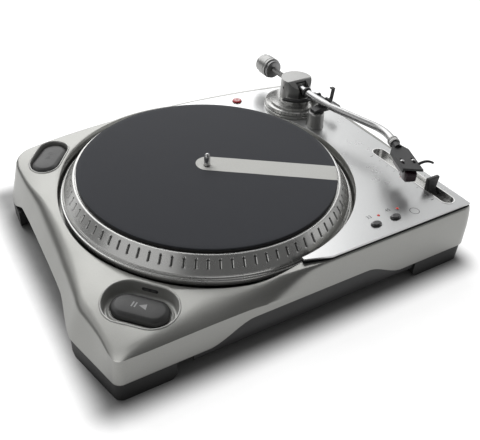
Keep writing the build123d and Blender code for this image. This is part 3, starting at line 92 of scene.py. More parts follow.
# Round the platter, by bearing: inset of the top edge, reach of its roll over the top, its softness down
# the wall, its crispness, and the height of the crisp edge
EDGE_KEYS = [
    (0, 3, 4, 0.2, 0, 58), (60, 3, 4, 0.2, 0, 58), (112, 4, 5, 0.2, 0, 58), (124, 6, 4, 0.12, 0, 58),
    (134, 9, 3.5, 0.08, 0, 57), (143, 13, 3.5, 0.08, 0, 57), (152, 15, 4, 0.1, 0, 56),
    (162, 20, 7, 0.2, 0, 55), (174, 20.5, 9, 0.26, 0, 55), (186, 21, 10, 0.24, 0, 54),
    (197, 20, 11, 0.2, 0, 54), (206, 18, 10, 0.18, 0, 54), (213, 15, 9, 0.15, 0, 53.5),
    (219, 10.5, 7, 0.12, 0, 53), (223, 7, 7, 0.1, 0.4, 53), (227, 7, 13, 0.1, 1, 53),
    (233, 8, 20, 0.1, 1, 53.5), (242, 12, 26, 0.1, 1, 54), (254, 9, 16, 0.1, 1, 53.5),
    (266, 6, 10, 0.1, 1, 48), (276, 3, 3.2, 0.1, 1, 45), (322, 3, 3.2, 0.1, 1, 45),
    (335, 3, 4, 0.2, 0.5, 50), (345, 3, 4, 0.2, 0, 58),
]
EDGE_SPREAD = 5
RIM_WIDTH = 1.2
LEAST_TOP = 4.0
LEAST_FLAT = 1.0
CRISP_INSET = 0.8
TOP_ROWS = 9
ROLL_ROWS = 17
WALL_SHARES = (0.3, 0.6, 0.85, 0.93, 0.95, 0.97)
# Row of the skin, early in its roll, from which the wall is looked up by height
ROLL_START = TOP_ROWS + 3
DIP_X = -172.0
DIP_PER_X = 0.28
DIP_SOFT = 10.0
RIDGE_TOP = 73.0
RIDGE_X = 12.0
RIDGE_PER_X = 0.27
RIDGE_SOFT = 3.0
SAG_X = -100.0
SAG_PER_X = 0.05
SAG_RUN = (-120, -40, 80, 140)
# Arches of the skirt: where each starts, is full, is full still and ends, and its rise
LEFT_ARCH = (-116, -62, 90, 124, 13.0)
LEFT_ARCH_X = -150
LEFT_ARCH_Y = 130
FRONT_ARCH = (-100, -50, 88, 140, 19.0)
FRONT_ARCH_Y = -160
REAR_OPENING = np.array([(90, 149), (190, 149), (190, 185), (90, 185)])
REAR_OPENING_Z = (25, 43)
TOOL_TOP = 99
SKIN_CREASE = 32

# Deck
DECK_TOP = 77.0
DECK_FRONT = -181.0
DECK_RIGHT = 229.0
DECK_TIP = 12.0
DECK_TIP_RUN = 28.0
DECK_TIP_DROP = 9.0
DECK_BACK_INSET = 9.0
POCKET_Z = 60.0
POCKET_GAP = 0.3
LEDGE = 12.0
HOLE_Z = (30, 70)
HOLE_LEFT = 60
PRINT_LIFT = 0.05
NUMBER_SIZE = 6.4
FADER_TICK_X = 197.0
FADER_MID_Y = -107.0
FADER_STEP = 12.5
POWER_PLACE = (125.0, 139.0)
POWER_TOP = 79.4
PITCH_PLACE = np.array((211.0, -139.0))

# Start wells: place, length, width, turn, floor, button length and width
FRONT_WELL = ((-146.27, -136.4), 78.0, 54.0, 313.0, 46.0, 59.0, 31.0)
REAR_WELL = ((-146.31, 122.77), 64.0, 38.0, 230.0, 64.0, 59.0, 31.0)
WELL_GAP = 0.1
# Rows of inset and height: the rim over the skin, the dish over the floor
WELL_RIM = ((0, -0.4), (0.15, 0.35), (0.6, 0.8), (1.1, 0.85), (1.6, 0.5), (1.9, -0.4), (2.1, -1.6))
WELL_DISH = ((2.5, 8), (2.9, 3.5), (3.7, 1.5), (5.0, 0.6))
NARROW_DISH = ((2.3, 4), (2.4, 0.3))
# Rows of reach beyond the button and height over the floor
WELL_COLLAR = ((3.6, 0.8), (2.9, 2.6), (2.3, 3.3), (1.5, 3.4), (0.9, 2.8), (0.6, 0.25))
COLLAR_ROOM = 5
WELL_UNDER = -2
WELL_HUB = ((-6, 0.2), (-9, 0), (-9, WELL_UNDER))
CAP_LOW = 2.6
CAP_HEIGHT = 8.5
CAP_CROWN = 1.6
CAP_EDGE = 4.0
ICON_SCALE = 0.8
WINDOW_Z = 54.0
WINDOW_INSET = 2.0

# Platter
MARKS = 84
MARK_BEARING = 224.19
MARK_STEPS = 16
MARK_HALF = 1.35
MARK_DEPTH = 0.95
MARK_FROM = 3.4
MARK_TO = 14.6
BEVEL_TOP = (150.5, 86.2)
BEVEL_FOOT = (162.0, 69.9)
BAR_BEARING = -35.3
BAR_OFFSET = 3.6
BAR_HALF = 14.2
BAR_START = 0.8
BAR_SOFT = 0.15
MAT_STEPS = 240
MAT_TOP = 89.92

# Tonearm, about its pivot
PIVOT = (187.0, 93.0)
ARM_Z = 108.0
TUBE_POINTS = [(0, -10), (0, -62), (24, -150), (12.76, -177.82)]
TUBE_BENDS = [190.0, 55.0]
TUBE_R = 4.5
SHELL_ANGLE = 22.0
SHELL_FAR = 38.0
SCREW_OFF = 6.35
TICK_RAISE = 0.1
THREAD_PITCH = 1.2
SKATE_TOP = 95.5
LEVER_END = np.array((216.4, 44.5))

# Stage, in metres
FLOOR_HALF = 3
# Where the floor's glow starts beyond the object's outline, and its run: nearer in, the floor is left darker as
# painted shadow
PAINTED_SHADOW_FROM = (0.212, 0.178)
PAINTED_SHADOW_RUN = 0.037
FLOOR_GLOW = 0.84
CARD_GLOW = 0.15
WORLD_LIGHT = 0.2
LAMP_AIM = Vector((0, 0, 0.06))
CARDS = {
    "front_card": [(-2.6, -2.2, 0.02), (2.6, -2.2, 0.02), (2.6, -2.2, 2.2), (-2.6, -2.2, 2.2)],
    "left_card": [(-2.6, 0.7, 0.15), (-0.9, 2.4, 0.15), (-0.9, 2.4, 1.1), (-2.6, 0.7, 1.1)],
    "top_card": [(-2.6, -2.2, 2.2), (2.6, -2.2, 2.2), (2.6, 1.05, 2.3), (-2.6, 1.05, 2.3)],
}
# Lamps: name, place, width, height, watts, whether reflections show it
LAMPS = (("key", (0.15, 1.2, 1.5), 2.0, 2.0, 42, False), ("glow", (0.3, 1.8, 1.5), 2.6, 2.0, 26, True))
WHITE = (1, 1, 1, 1)

# Looks: darker and lighter colour or grey of the grain, roughness, metal, scale of the grain, relief, coat
SURFACES = {
    "silver_paint": ((0.265, 0.265, 0.253), (0.32, 0.32, 0.306), 0.31, 0.85, 2600, 0.01),
    "deck_metal": ((0.50, 0.505, 0.505), (0.56, 0.565, 0.565), 0.28, 0.9, 2200, 0.004),
    "black_plastic": ((0.012, 0.012, 0.013), (0.02, 0.02, 0.021), 0.45, 0.0, 1800, 0.12),
    "dark_gloss": ((0.02, 0.02, 0.022), (0.03, 0.03, 0.032), 0.22, 0.0, 900, 0.02, 0.4),
    "dark_cap": (0.022, 0.034, 0.42, 0.0, 900, 0.03),
    # Near-white silver for the fader's recess, brighter than the deck: painted light in the recess
    "fader_silver_painted_light": ((0.80, 0.80, 0.79), (0.86, 0.86, 0.85), 0.22, 0.95, 1200, 0.02),
    "cartridge_plum": ((0.020, 0.008, 0.014), (0.035, 0.014, 0.022), 0.25, 0.0, 900, 0.02, 0.3),
    "rubber": (0.012, 0.02, 0.6, 0.0, 1500, 0.15),
    "cast_metal": ((0.42, 0.42, 0.41), (0.49, 0.49, 0.48), 0.27, 0.8, 1400, 0.03),
    "chrome": (0.40, 0.46, 0.26, 1.0, 800, 0.01),
    "dark_metal": (0.20, 0.26, 0.3, 0.9, 1200, 0.03),
    # Near-black look for the platter's strobe slots: painted shade in the recesses
    "slot_painted_shade": ((0.035, 0.035, 0.034), (0.05, 0.05, 0.048), 0.5, 0.2, 1400, 0.03),
    # Lighter, less metallic silver than the plinth's for the start wells: painted light in the wells
    "well_silver_painted_light": ((0.40, 0.40, 0.385), (0.46, 0.46, 0.445), 0.38, 0.4, 2600, 0.03),
    "arm_metal": ((0.27, 0.27, 0.265), (0.33, 0.33, 0.325), 0.36, 0.95, 1400, 0.03),
    "red_plastic": ((0.30, 0.012, 0.015), (0.40, 0.02, 0.02), 0.25, 0.0, 900, 0.02, 0.3),
    "lamp_red": ((0.55, 0.03, 0.02), (0.70, 0.05, 0.03), 0.2, 0.0, 900, 0.02, 0.3),
    "bronze": ((0.45, 0.28, 0.12), (0.55, 0.35, 0.16), 0.35, 1.0, 900, 0.03),
    "board": ((0.02, 0.10, 0.04), (0.03, 0.14, 0.05), 0.4, 0.0, 500, 0.03),
    "ink_black": (0.02, 0.03, 0.5),
    "ink_pale": (0.40, 0.48, 0.45),
    "ink_dim": (0.20, 0.25, 0.45),
    "ink_red": ((0.45, 0.05, 0.04), (0.55, 0.08, 0.06), 0.5),
    "lit_pane": (0.10, 0.14, 0.25, 0.0, 900, 0.02, 0.2),
}
# Looks of the CAD nodes, where they aren't named as their slot is
SLOT_LOOKS = {"black_gloss": "dark_gloss", "dark_button": "dark_gloss", "light_window": "dark_gloss",
              "steel": "cast_metal", "magnet": "rubber"}
# The fader's liner gets the near-white silver: painted light in its recess
NODE_LOOKS = {"fader_liner": "fader_silver_painted_light", "speed_button_slow": "dark_gloss",
              "speed_button_fast": "dark_gloss", "stylus": "cartridge_plum"}
# CAD nodes with rounded edges: width of the rounding, look
SOFTENED = {
    "deck_plate": (0.4, "deck_metal"), "gimbal_yoke": (0.8, "arm_metal"), "arm_column": (0.5, "cast_metal"),
    "arm_base": (0.6, "cast_metal"), "arm_rest_cradle": (0.4, "black_plastic"),
    "arm_clip": (0.3, "black_plastic"), "cue_lifter": (0.5, "black_plastic"),
    "cue_lever": (0.5, "black_plastic"), "headshell": (0.4, "black_plastic"),
    "cartridge": (0.5, "cartridge_plum"),
}
SOFT_ANGLE = 35
RAMP_ENDS = (0.3, 0.7)
FELT_DARK = ((0.016, 0.017, 0.020), (0.038, 0.040, 0.046))
FELT_PALE = ((0.40, 0.40, 0.38), (0.55, 0.55, 0.53))
LOOK = {}


def linked(name, data):
    """New object in the scene."""
    obj = bpy.data.objects.new(name, data)
    bpy.context.scene.collection.objects.link(obj)
    return obj


def paint(obj, look):
    """Puts one look on an object."""
    obj.data.materials.clear()
    obj.data.materials.append(LOOK[look])


def new_object(name, mesh, body, slot, look):
    """Object from a mesh, riding on a body."""
    obj = linked(name, mesh)
    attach(obj, body)
    paint(obj, look)
    return obj


def shade(mesh, angle):
    """Round shading, with edges sharper than an angle kept crisp."""
    mesh.polygons.foreach_set("use_smooth", [True] * len(mesh.polygons))
    mesh.set_sharp_from_angle(angle=math.radians(angle))
    mesh.update()


def capped(*shapes):
    """Lofts with an end face at both ends, each from a list of rings."""
    return [(rings, False) for rings in shapes]


def closed(rings):
    """Loft whose last ring joins the first."""
    return [(rings, True)]


def loft_mesh(name, lofts, angle=35):
    """Mesh from lofts; each is a list of rings and whether the last ring joins the first."""
    points = []
    faces = []
    for rings, joins in lofts:
        steps = len(rings[0])
        spots = len(points) + np.arange(len(rings) * steps)
        rows = spots.reshape(-1, steps).tolist()
        for ring in rings:
            points.extend(np.asarray(ring, float) * MM + SHIFT)
        for low, high in zip(rows, rows[1:] + rows[:1] if joins else rows[1:]):
            faces += zip(low, low[1:] + low[:1], high[1:] + high[:1], high)
        if not joins:
            faces += [rows[0][::-1], rows[-1]]
    mesh = bpy.data.meshes.new(name)
    mesh.from_pydata([tuple(point) for point in points], [], faces)
    work = bmesh.new()
    work.from_mesh(mesh)
    bmesh.ops.remove_doubles(work, verts=work.verts, dist=WELD_M)
    bmesh.ops.dissolve_degenerate(work, edges=work.edges, dist=DEGENERATE_M)
    bmesh.ops.recalc_face_normals(work, faces=work.faces)
    work.to_mesh(mesh)
    work.free()
    shade(mesh, angle)
    return mesh


def piece(name, lofts, look, *nodes, body=None, slot=None, angle=35):
    """Lofted piece, on the body of the CAD nodes that it stands for, or on its own."""
    body = body or BODY_OF[nodes[0]]
    slot = slot or SLOT_OF[nodes[0]]
    obj = new_object(name, loft_mesh(name, lofts, angle), body, slot, look)
    if nodes:
        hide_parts(*nodes)
    return obj


def unit(vector):
    """Vector of length 1."""
    vector = np.array(vector, float)
    return vector / np.linalg.norm(vector)


def full_turn(steps):
    """Evenly spaced angles round a circle."""
    return np.linspace(0, 2 * math.pi, steps, endpoint=False)


def turned(profile, place, axis=UP, steps=96):
    """Rings of a turned shape: radius and distance along an axis from a place."""
    axis = unit(axis)
    side = unit(np.cross(axis, (0, 0, 1) if abs(axis[2]) < 0.9 else (1, 0, 0)))
    turns = full_turn(steps)
    around = np.outer(np.cos(turns), side) + np.outer(np.sin(turns), np.cross(axis, side))
    return [np.array(place, float) + axis * far + around * radius for radius, far in profile]


def plan_axes(turn):
    """Directions along and across a turn, in plan."""
    angle = math.radians(turn)
    return (np.array((math.cos(angle), math.sin(angle))), np.array((-math.sin(angle), math.cos(angle))))


def level_axes(turn):
    """Level directions along and across a turn, in space."""
    return [np.append(way, 0.0) for way in plan_axes(turn)]


def obround(length, width, turn, place=(0.0, 0.0), inset=0.0):
    """Slot-shaped ring in plan, moved inwards."""
    radius = (width - 2 * inset) / 2
    half = (length - 2 * inset) / 2 - radius
    spots = []
    for sign, start in ((1, -90), (-1, 90)):
        for angle in np.radians(np.linspace(start, start + 180, ARC_POINTS)):
            spots.append((sign * half + radius * math.cos(angle), radius * math.sin(angle)))
        edge = spots[-1]
        for share in np.linspace(0, 1, SIDE_POINTS)[1:-1]:
            spots.append((edge[0] - sign * 2 * half * share, edge[1]))
    return np.array(spots) @ np.array(plan_axes(turn)) + np.array(place)


def round_box(half_x, half_y, radius, arc=6):
    """Ring of a rectangle with rounded corners."""
    spots = []
    for sx, sy, start in ((1, 1, 0), (-1, 1, 90), (-1, -1, 180), (1, -1, 270)):
        for angle in np.radians(np.linspace(start, start + 90, arc)):
            spots.append((sx * (half_x - radius) + radius * math.cos(angle),
                          sy * (half_y - radius) + radius * math.sin(angle)))
    return np.array(spots)


def lifted(ring, z):
    """Plan ring at a height, or at one height for each point."""
    return np.column_stack((ring, np.broadcast_to(z, len(ring))))


def ease(low, high, value):
    """Smooth step from 0 to 1."""
    share = np.clip((value - low) / (high - low), 0, 1)
    return share * share * (3 - 2 * share)


def plateau(run, value):
    """Smooth rise from 0 to 1 and, further on, back to 0."""
    low, start, end, high = run
    return ease(low, start, value) * (1 - ease(end, high, value))


def corner_ways(before, here, after):
    """Directions from a corner to its two neighbours, and half the angle between them."""
    ways = [unit(np.array(spot, float) - here) for spot in (before, after)]
    return *ways, math.acos(np.clip(ways[0] @ ways[1], -1, 1)) / 2


def rounded_outline():
    """Plinth outline as closely spaced points, with its corners rounded and its back bowed."""
    corners = []
    for index, (x, y, radius) in enumerate(OUTLINE):
        here = np.array((x, y), float)
        ahead = OUTLINE[(index + 1) % len(OUTLINE)]
        before, after, half = corner_ways(OUTLINE[index - 1][:2], here, ahead[:2])
        reach = min(radius / math.tan(half), CORNER_REACH)
        start = here + before * reach
        end = here + after * reach
        for share in np.linspace(0, 1, CORNER_STEPS):
            corners.append((1 - share) ** 2 * start + 2 * share * (1 - share) * here + share ** 2 * end)
    shares = np.linspace(0, 1, EDGE_STEPS, endpoint=False)[:, None]
    pairs = zip(corners, corners[1:] + corners[:1])
    points = np.concatenate([here + (ahead - here) * shares for here, ahead in pairs])
    across = np.clip((points[:, 0] - BACK_MID_X) / BACK_HALF, -1, 1)
    points[:, 1] += np.where(points[:, 1] > BOW_FROM_Y, BACK_BOW * (1 - across ** 2), 0)
    return points


def edge_values(angles, column):
    """One column of the edge's keys at each bearing, eased by a soft average."""
    bearings = [key[0] for key in EDGE_KEYS]
    values = [key[column] for key in EDGE_KEYS]
    raw = np.interp(np.degrees(angles) % 360, bearings + [360], values + [values[0]])
    width = int(EDGE_SPREAD * len(angles) / 360)
    kernel = np.hanning(2 * width + 3)
    kernel /= kernel.sum()
    wrapped = np.concatenate((raw[-width - 1:], raw, raw[:width + 1]))
    return np.convolve(wrapped, kernel, mode="valid")


def smooth_most(first, second, soft):
    """Larger of two values, eased where they meet."""
    return (first + second + np.sqrt((first - second) ** 2 + soft ** 2)) / 2


def slope_z(x, y):
    """Height of the plinth's top: a slope that dips at the left and meets a ridge before the deck."""
    top = TOP_MID + TOP_PER_Y * y + TOP_PER_X * x - DIP_PER_X * smooth_most(DIP_X - x, 0.0, DIP_SOFT)
    top = top - SAG_PER_X * smooth_most(SAG_X - x, 0.0, DIP_SOFT) * plateau(SAG_RUN, y)
    ridge = RIDGE_TOP - smooth_most(RIDGE_PER_X * (RIDGE_X - x), 0.0, RIDGE_SOFT)
    return np.minimum(smooth_most(top, ridge, RIDGE_SOFT), TOP_CLAMP)


def skirt_z(x, y):
    """Height of the skirt's lower edge, raised in the arches."""
    rise = np.full_like(x, SKIRT_Z)
    *run, lift = LEFT_ARCH
    on_left = (x < LEFT_ARCH_X) & (y < LEFT_ARCH_Y)
    rise = np.where(on_left, rise + lift * plateau(run, y), rise)
    *run, lift = FRONT_ARCH
    return np.where(y < FRONT_ARCH_Y, rise + lift * plateau(run, x), rise)


def skin_profile():
    """Radius and height of the plinth's skin at each bearing, from the platter to the skirt's edge."""
    angles = full_turn(SKIN_STEPS)
    ray = np.stack((np.cos(angles), np.sin(angles)))
    outline = rounded_outline()
    bearing = np.arctan2(outline[:, 1], outline[:, 0])
    order = np.argsort(bearing)
    reach = np.hypot(outline[:, 0], outline[:, 1])[order]
    outer = np.interp(angles, bearing[order], reach, period=2 * math.pi)
    columns = range(1, len(EDGE_KEYS[0]))
    inset, near, share, crisp, crisp_z = (edge_values(angles, column) for column in columns)
    foot_z = skirt_z(ray[0] * outer, ray[1] * outer)

    def top(radius):
        return slope_z(ray[0] * radius, ray[1] * radius)

    rim_r = np.full_like(angles, WELL_R)
    start_r = rim_r + RIM_WIDTH
    edge_r = np.maximum(outer - inset, start_r + LEAST_TOP)
    near_r = np.maximum(edge_r - near, start_r + LEAST_FLAT)
    edge_z, near_z = top(edge_r), top(near_r)
    far_r = (1 - crisp) * (edge_r + (outer - edge_r) * share) + crisp * (outer - CRISP_INSET)
    far_z = (1 - crisp) * (edge_z + (SKIRT_Z - edge_z) * share) + crisp * crisp_z
    foot_r = outer - (outer - far_r) * (foot_z - SKIRT_Z) / (far_z - SKIRT_Z)
    rows = [(rim_r + out, top(WELL_R) - drop) for out, drop in ((0, 1.6), (0.35, 0.5))]
    for step in np.linspace(0, 1, TOP_ROWS):
        radius = start_r + (near_r - start_r) * step
        rows.append((radius, top(radius)))
    for step in np.linspace(0, 1, ROLL_ROWS)[1:]:
        first, middle, end = (1 - step) ** 2, 2 * step * (1 - step), step ** 2
        roll_r = first * near_r + middle * edge_r + end * far_r
        roll_z = first * near_z + middle * edge_z + end * far_z
        rows.append((roll_r, roll_z))
    for step in WALL_SHARES:
        rows.append((far_r + (foot_r - far_r) * step, far_z + (foot_z - far_z) * step))
    rows = np.array(rows)
    return ray, foot_r, foot_z, rows[:, 0], rows[:, 1]


RAY, OUTER, FOOT_Z, SKIN_R, SKIN_Z = skin_profile()


def skin_top(ring):
    """Height of the plinth's skin at plan points."""
    heights = []
    for x, y in ring:
        spot = math.atan2(y, x) / (2 * math.pi) % 1 * SKIN_STEPS
        low = int(spot) % SKIN_STEPS
        high = (low + 1) % SKIN_STEPS
        mix = spot - int(spot)
        radius, z = (rows[:, low] * (1 - mix) + rows[:, high] * mix for rows in (SKIN_R, SKIN_Z))
        heights.append(np.interp(math.hypot(x, y), radius, z))
    return np.array(heights)


def skin_rings():
    """Rings of the plinth's skin, one closed sweep round the platter axis."""
    def place(radius, z):
        radius = np.broadcast_to(radius, OUTER.shape)
        return np.stack((RAY[0] * radius, RAY[1] * radius, np.broadcast_to(z, OUTER.shape)), axis=1)

    rings = [place(WELL_R, WELL_FLOOR)]
    rings += [place(radius, z) for radius, z in zip(SKIN_R, SKIN_Z)]
    rings.append(place(OUTER - FOOT_ROUND, FOOT_Z))
    rings.append(place(OUTER - SKIRT_WALL, FOOT_Z))
    lower = zip(SKIN_R[ROLL_START:].T, SKIN_Z[ROLL_START:].T)
    wall_r = np.array([np.interp(CEILING, z[::-1], radius[::-1]) for radius, z in lower])
    rings.append(place(wall_r - SKIRT_WALL, CEILING))
    rings.append(place(BEARING_HOLE, CEILING))
    rings.append(place(BEARING_HOLE, WELL_FLOOR))
    return rings


def cut(obj, tools):
    """Takes tool shapes away from an object's mesh, then drops the tools."""
    for tool in tools:
        step = obj.modifiers.new("cut", "BOOLEAN")
        step.operation = "DIFFERENCE"
        step.solver = "EXACT"
        step.object = tool
    graph = bpy.context.evaluated_depsgraph_get()
    obj.data = bpy.data.meshes.new_from_object(obj.evaluated_get(graph))
    obj.modifiers.clear()
    for tool in tools:
        bpy.data.objects.remove(tool)


def cutter(name, outline, low, high):
    """Upright tool shape from a plan outline."""
    return linked(name, loft_mesh(name, capped([lifted(outline, low), lifted(outline, high)])))


def back_y(x, inset):
    """Bowed back edge at x, moved inwards."""
    radius = (BACK_HALF ** 2 + BACK_BOW ** 2) / (2 * BACK_BOW)
    return BACK_Y - radius + np.sqrt((radius - inset) ** 2 - (x - BACK_MID_X) ** 2)


def deck_pocket():
    """Outline of the deck's pocket, a little larger than the deck."""
    tip = DECK_TIP - POCKET_GAP
    front = DECK_FRONT - POCKET_GAP
    right = DECK_RIGHT + POCKET_GAP
    back_x = np.linspace(right, tip, 40)
    back = np.column_stack((back_x, back_y(back_x, DECK_BACK_INSET - POCKET_GAP)))
    start = [(tip, front + DECK_TIP_DROP), (tip + DECK_TIP_RUN, front), (right, front)]
    return np.concatenate((np.array(start), back))


def deck_hole():
    """Outline of the opening under the deck, beside the platter."""
    ring = WELL_R + LEDGE
    front = DECK_FRONT + LEDGE
    right = DECK_RIGHT - LEDGE
    back_x = np.linspace(right, HOLE_LEFT, 400)
    back = np.column_stack((back_x, back_y(back_x, DECK_BACK_INSET + LEDGE)))
    back = back[np.hypot(back[:, 0], back[:, 1]) > ring][::10]
    turns = np.linspace(math.atan2(back[-1, 1], back[-1, 0]) - 0.01, math.asin(front / ring), 40)
    arc = ring * np.column_stack((np.cos(turns), np.sin(turns)))
    return np.concatenate((np.array([(right, front)]), back, arc))


def plinth():
    """Plinth with its deck pocket, start wells and rear opening cut out."""
    skin = piece("plinth_skin", closed(skin_rings()), "silver_paint", "plinth_shell", "plinth_skirt")
    tools = [
        cutter("pocket", deck_pocket(), POCKET_Z, TOOL_TOP),
        cutter("hole", deck_hole(), *HOLE_Z),
        cutter("sockets", REAR_OPENING, *REAR_OPENING_Z),
    ]
    for place, length, width, turn, *_ in (FRONT_WELL, REAR_WELL):
        tools.append(cutter("well", obround(length, width, turn, place, -WELL_GAP), 0, TOOL_TOP))
    cut(skin, tools)
    shade(skin.data, SKIN_CREASE)


def well_band():
    """Bright wall of the platter's well under the deck's inner edge."""
    corners = ((168.5, 60.2), (168.5, 76.2), (168.7, 76.7), (169.2, 76.7), (169.4, 76.2), (169.4, 60.2))
    rings = []
    for turn in np.radians(np.linspace(-78, 64, 143)):
        x, y = math.cos(turn), math.sin(turn)
        rings.append(np.array([(x * radius, y * radius, z) for radius, z in corners]))
    piece("well_band", capped(rings), "silver_paint", body="chassis", slot="silver_paint")


def front_panel():
    """Dark panel behind the front arch, reaching the feet at both ends."""
    low, high, end_high = 12.4, 40.8, 21.6
    end_left, end_right = -98, 138
    across = np.linspace(-114.8, 160.8, 120)
    arch = skirt_z(across, np.full_like(across, DECK_FRONT)) + 1.6
    top = np.where((across < end_left) | (across > end_right), end_high, np.minimum(arch, high))
    rings = []
    for inset, y in ((0.0, -181.9), (0.0, -183.4), (0.25, -183.9), (0.7, -184.1)):
        upper = np.column_stack((across, np.full_like(across, y), top - inset))
        lower = np.column_stack((across, np.full_like(across, y), np.full_like(across, low + inset)))
        rings.append(np.concatenate((lower, upper[::-1])))
    piece("front_panel", capped(rings), "black_plastic", "front_trim", angle=30)


def start_well(name, node, well):
    """Dished cup with a raised rim and, where there is room, a raised collar round the button, in a lighter, less
    metallic silver than the plinth's: painted light in the well.
    """
    place, length, width, turn, floor, cap_l, cap_w = well

    def dish(inset, over):
        return lifted(obround(length, width, turn, place, inset), floor + over)

    def rim(inset, over):
        outline = obround(length, width, turn, place, inset)
        return lifted(outline, skin_top(outline) + over)

    def collar(out, over):
        return lifted(obround(cap_l, cap_w, turn, place, -out), floor + over)

    roomy = (width - cap_w) / 2 - WELL_RIM[-1][0] > COLLAR_ROOM
    rings = [dish(0, WELL_UNDER)]
    rings += [rim(*row) for row in WELL_RIM]
    rings += [dish(*row) for row in (WELL_DISH if roomy else NARROW_DISH)]
    rings += [collar(*row) for row in (WELL_COLLAR + WELL_HUB if roomy else WELL_HUB)]
    piece(name, closed(rings), "well_silver_painted_light", node, angle=50)


def dome_z(inset, half, top):
    """Height of a domed cap at an inset from its edge."""
    return top - CAP_CROWN * (1 - np.clip(inset / half, 0, 1)) ** 2


def start_button(name, node, well):
    """Pill-shaped cap with a rolled edge and a stem."""
    place, _, _, turn, floor, cap_l, cap_w = well
    low = floor + CAP_LOW
    top = low + CAP_HEIGHT

    def ring(inset, z):
        return lifted(obround(cap_l, cap_w, turn, place, inset), z)

    rings = [ring(0.5, low), ring(0, low + 0.5)]
    roll_z = top - CAP_CROWN - CAP_EDGE + 0.12
    for turn_up in np.radians(np.linspace(0, 75, 7)):
        rings.append(ring(CAP_EDGE * (1 - math.cos(turn_up)), roll_z + CAP_EDGE * math.sin(turn_up)))
    for inset in np.linspace(CAP_EDGE, cap_w / 2 - 0.3, 8):
        rings.append(ring(inset, dome_z(inset, cap_w / 2, top)))
    stem = obround(8.2, 6.0, turn, place)
    stem_rings = [lifted(stem, floor - 9), lifted(stem, low + 1)]
    piece(name, capped(rings, stem_rings), "dark_cap", node, angle=40)


def flat_print(name, shapes, height, body, look, cuts=0):
    """Thin print of plan shapes, at one height or on a surface whose height is a function of the plan."""
    work = bmesh.new()
    for shape in shapes:
        work.faces.new([work.verts.new((x, y, 0)) for x, y in shape])
    bmesh.ops.triangulate(work, faces=work.faces)
    if cuts:
        bmesh.ops.subdivide_edges(work, edges=work.edges, cuts=cuts, use_grid_fill=True)
    for vert in work.verts:
        spot = np.array((vert.co.x, vert.co.y))
        z = float(height(spot)) if callable(height) else height
        vert.co = Vector((*(spot * MM), (z + PRINT_LIFT) * MM)) + Vector(SHIFT)
    bmesh.ops.recalc_face_normals(work, faces=work.faces)
    mesh = bpy.data.meshes.new(name)
    work.to_mesh(mesh)
    work.free()
    if mesh.polygons and mesh.polygons[0].normal.z < 0:
        mesh.flip_normals()
    shade(mesh, 40)
    new_object(name, mesh, body, None, look)


def start_icon(name, well, body, look):
    """Two slanting bars and a triangle on a start button's dome."""
    place, _, _, turn, floor, _, cap_w = well
    along, across = plan_axes(turn)
    middle = np.array(place)

    def height(spot):
        off = abs((spot - middle) @ across)
        return dome_z(cap_w / 2 - off, cap_w / 2, floor + CAP_LOW + CAP_HEIGHT)

    def put(points):
        return [middle + (along * u + across * v) * ICON_SCALE for u, v in points]

    bars = [put([(u, -4), (u + 1.8, -4), (u + 2.4, 4), (u + 0.6, 4)]) for u in (-10.5, -6.6)]
    triangle = put([(-1.6, 0.4), (8.6, -4.2), (7.4, 4.6)])
    flat_print(name, bars + [triangle], height, body, look, 2)


def start_window():
    """Dark slot with two small windows on the front well's wall, nearest the platter."""
    place, _, width, turn, *_ = FRONT_WELL
    along, across = level_axes(turn)
    face = np.array((*place, WINDOW_Z)) + across * (width / 2 - WINDOW_INSET)

    def pad(length, height, depth, centre=0.0):
        outline = obround(length, height, 0)
        return [face + along * (centre + u) - across * depth + np.array((0, 0, v)) for u, v in outline]

    slot = [pad(17.0, 4.4, -0.6), pad(17.0, 4.4, 0.5), pad(16.4, 3.8, 0.75)]
    piece("start_window", capped(slot), "black_plastic", "indicator_lights")
    panes = []
    for centre in (-3.4, 3.4):
        rows = ((5.2, 1.9, 0.5), (5.2, 1.9, 0.95), (4.7, 1.4, 1.05))
        panes.append([pad(*row, centre) for row in rows])
    piece("start_panes", capped(*panes), "lit_pane", body="chassis", slot="light_window")


def speed_lights():
    """Small domed lights beside the speed buttons."""
    profile = [(0, 63.6), (1.6, 63.6), (1.6, 76.9), (1.55, 77.15), (1.25, 77.4), (0.7, 77.5), (0, 77.5)]
    lights = [turned(profile, (x, -151.5, 0), UP, 32) for x in (124.0, 150.5)]
    piece("speed_lights", capped(*lights), "lamp_red", "indicator_lights", slot="red_plastic")


def number_print(name, words, place):
    """Plain number printed flat on the deck."""
    curve = bpy.data.curves.new(name, "FONT")
    curve.body = words
    curve.size = NUMBER_SIZE * MM
    curve.align_x = "CENTER"
    curve.align_y = "CENTER"
    curve.resolution_u = 4
    obj = bpy.data.objects.new(name, curve)
    mesh = bpy.data.meshes.new_from_object(obj)
    bpy.data.objects.remove(obj)
    mesh.transform(Matrix.Translation(Vector((*place, DECK_TOP + PRINT_LIFT)) * MM + Vector(SHIFT)))
    new_object(name, mesh, "chassis", None, "ink_black")


def ring_print(name, place, radius, width, height, body, look, start=0.0, end=360.0):
    """Thin printed circle or arc."""
    turns = np.radians(np.linspace(start, end, 49))
    spots = np.column_stack((np.cos(turns), np.sin(turns)))
    outer = np.array(place) + spots * radius
    inner = np.array(place) + spots * (radius - width)
    shapes = list(zip(outer[:-1], outer[1:], inner[1:], inner[:-1]))
    flat_print(name, shapes, height, body, look)


def box_shape(x, y, length, width):
    """Corners of a small printed bar."""
    return [(x + u * length / 2, y + v * width / 2) for u, v in ((-1, -1), (1, -1), (1, 1), (-1, 1))]


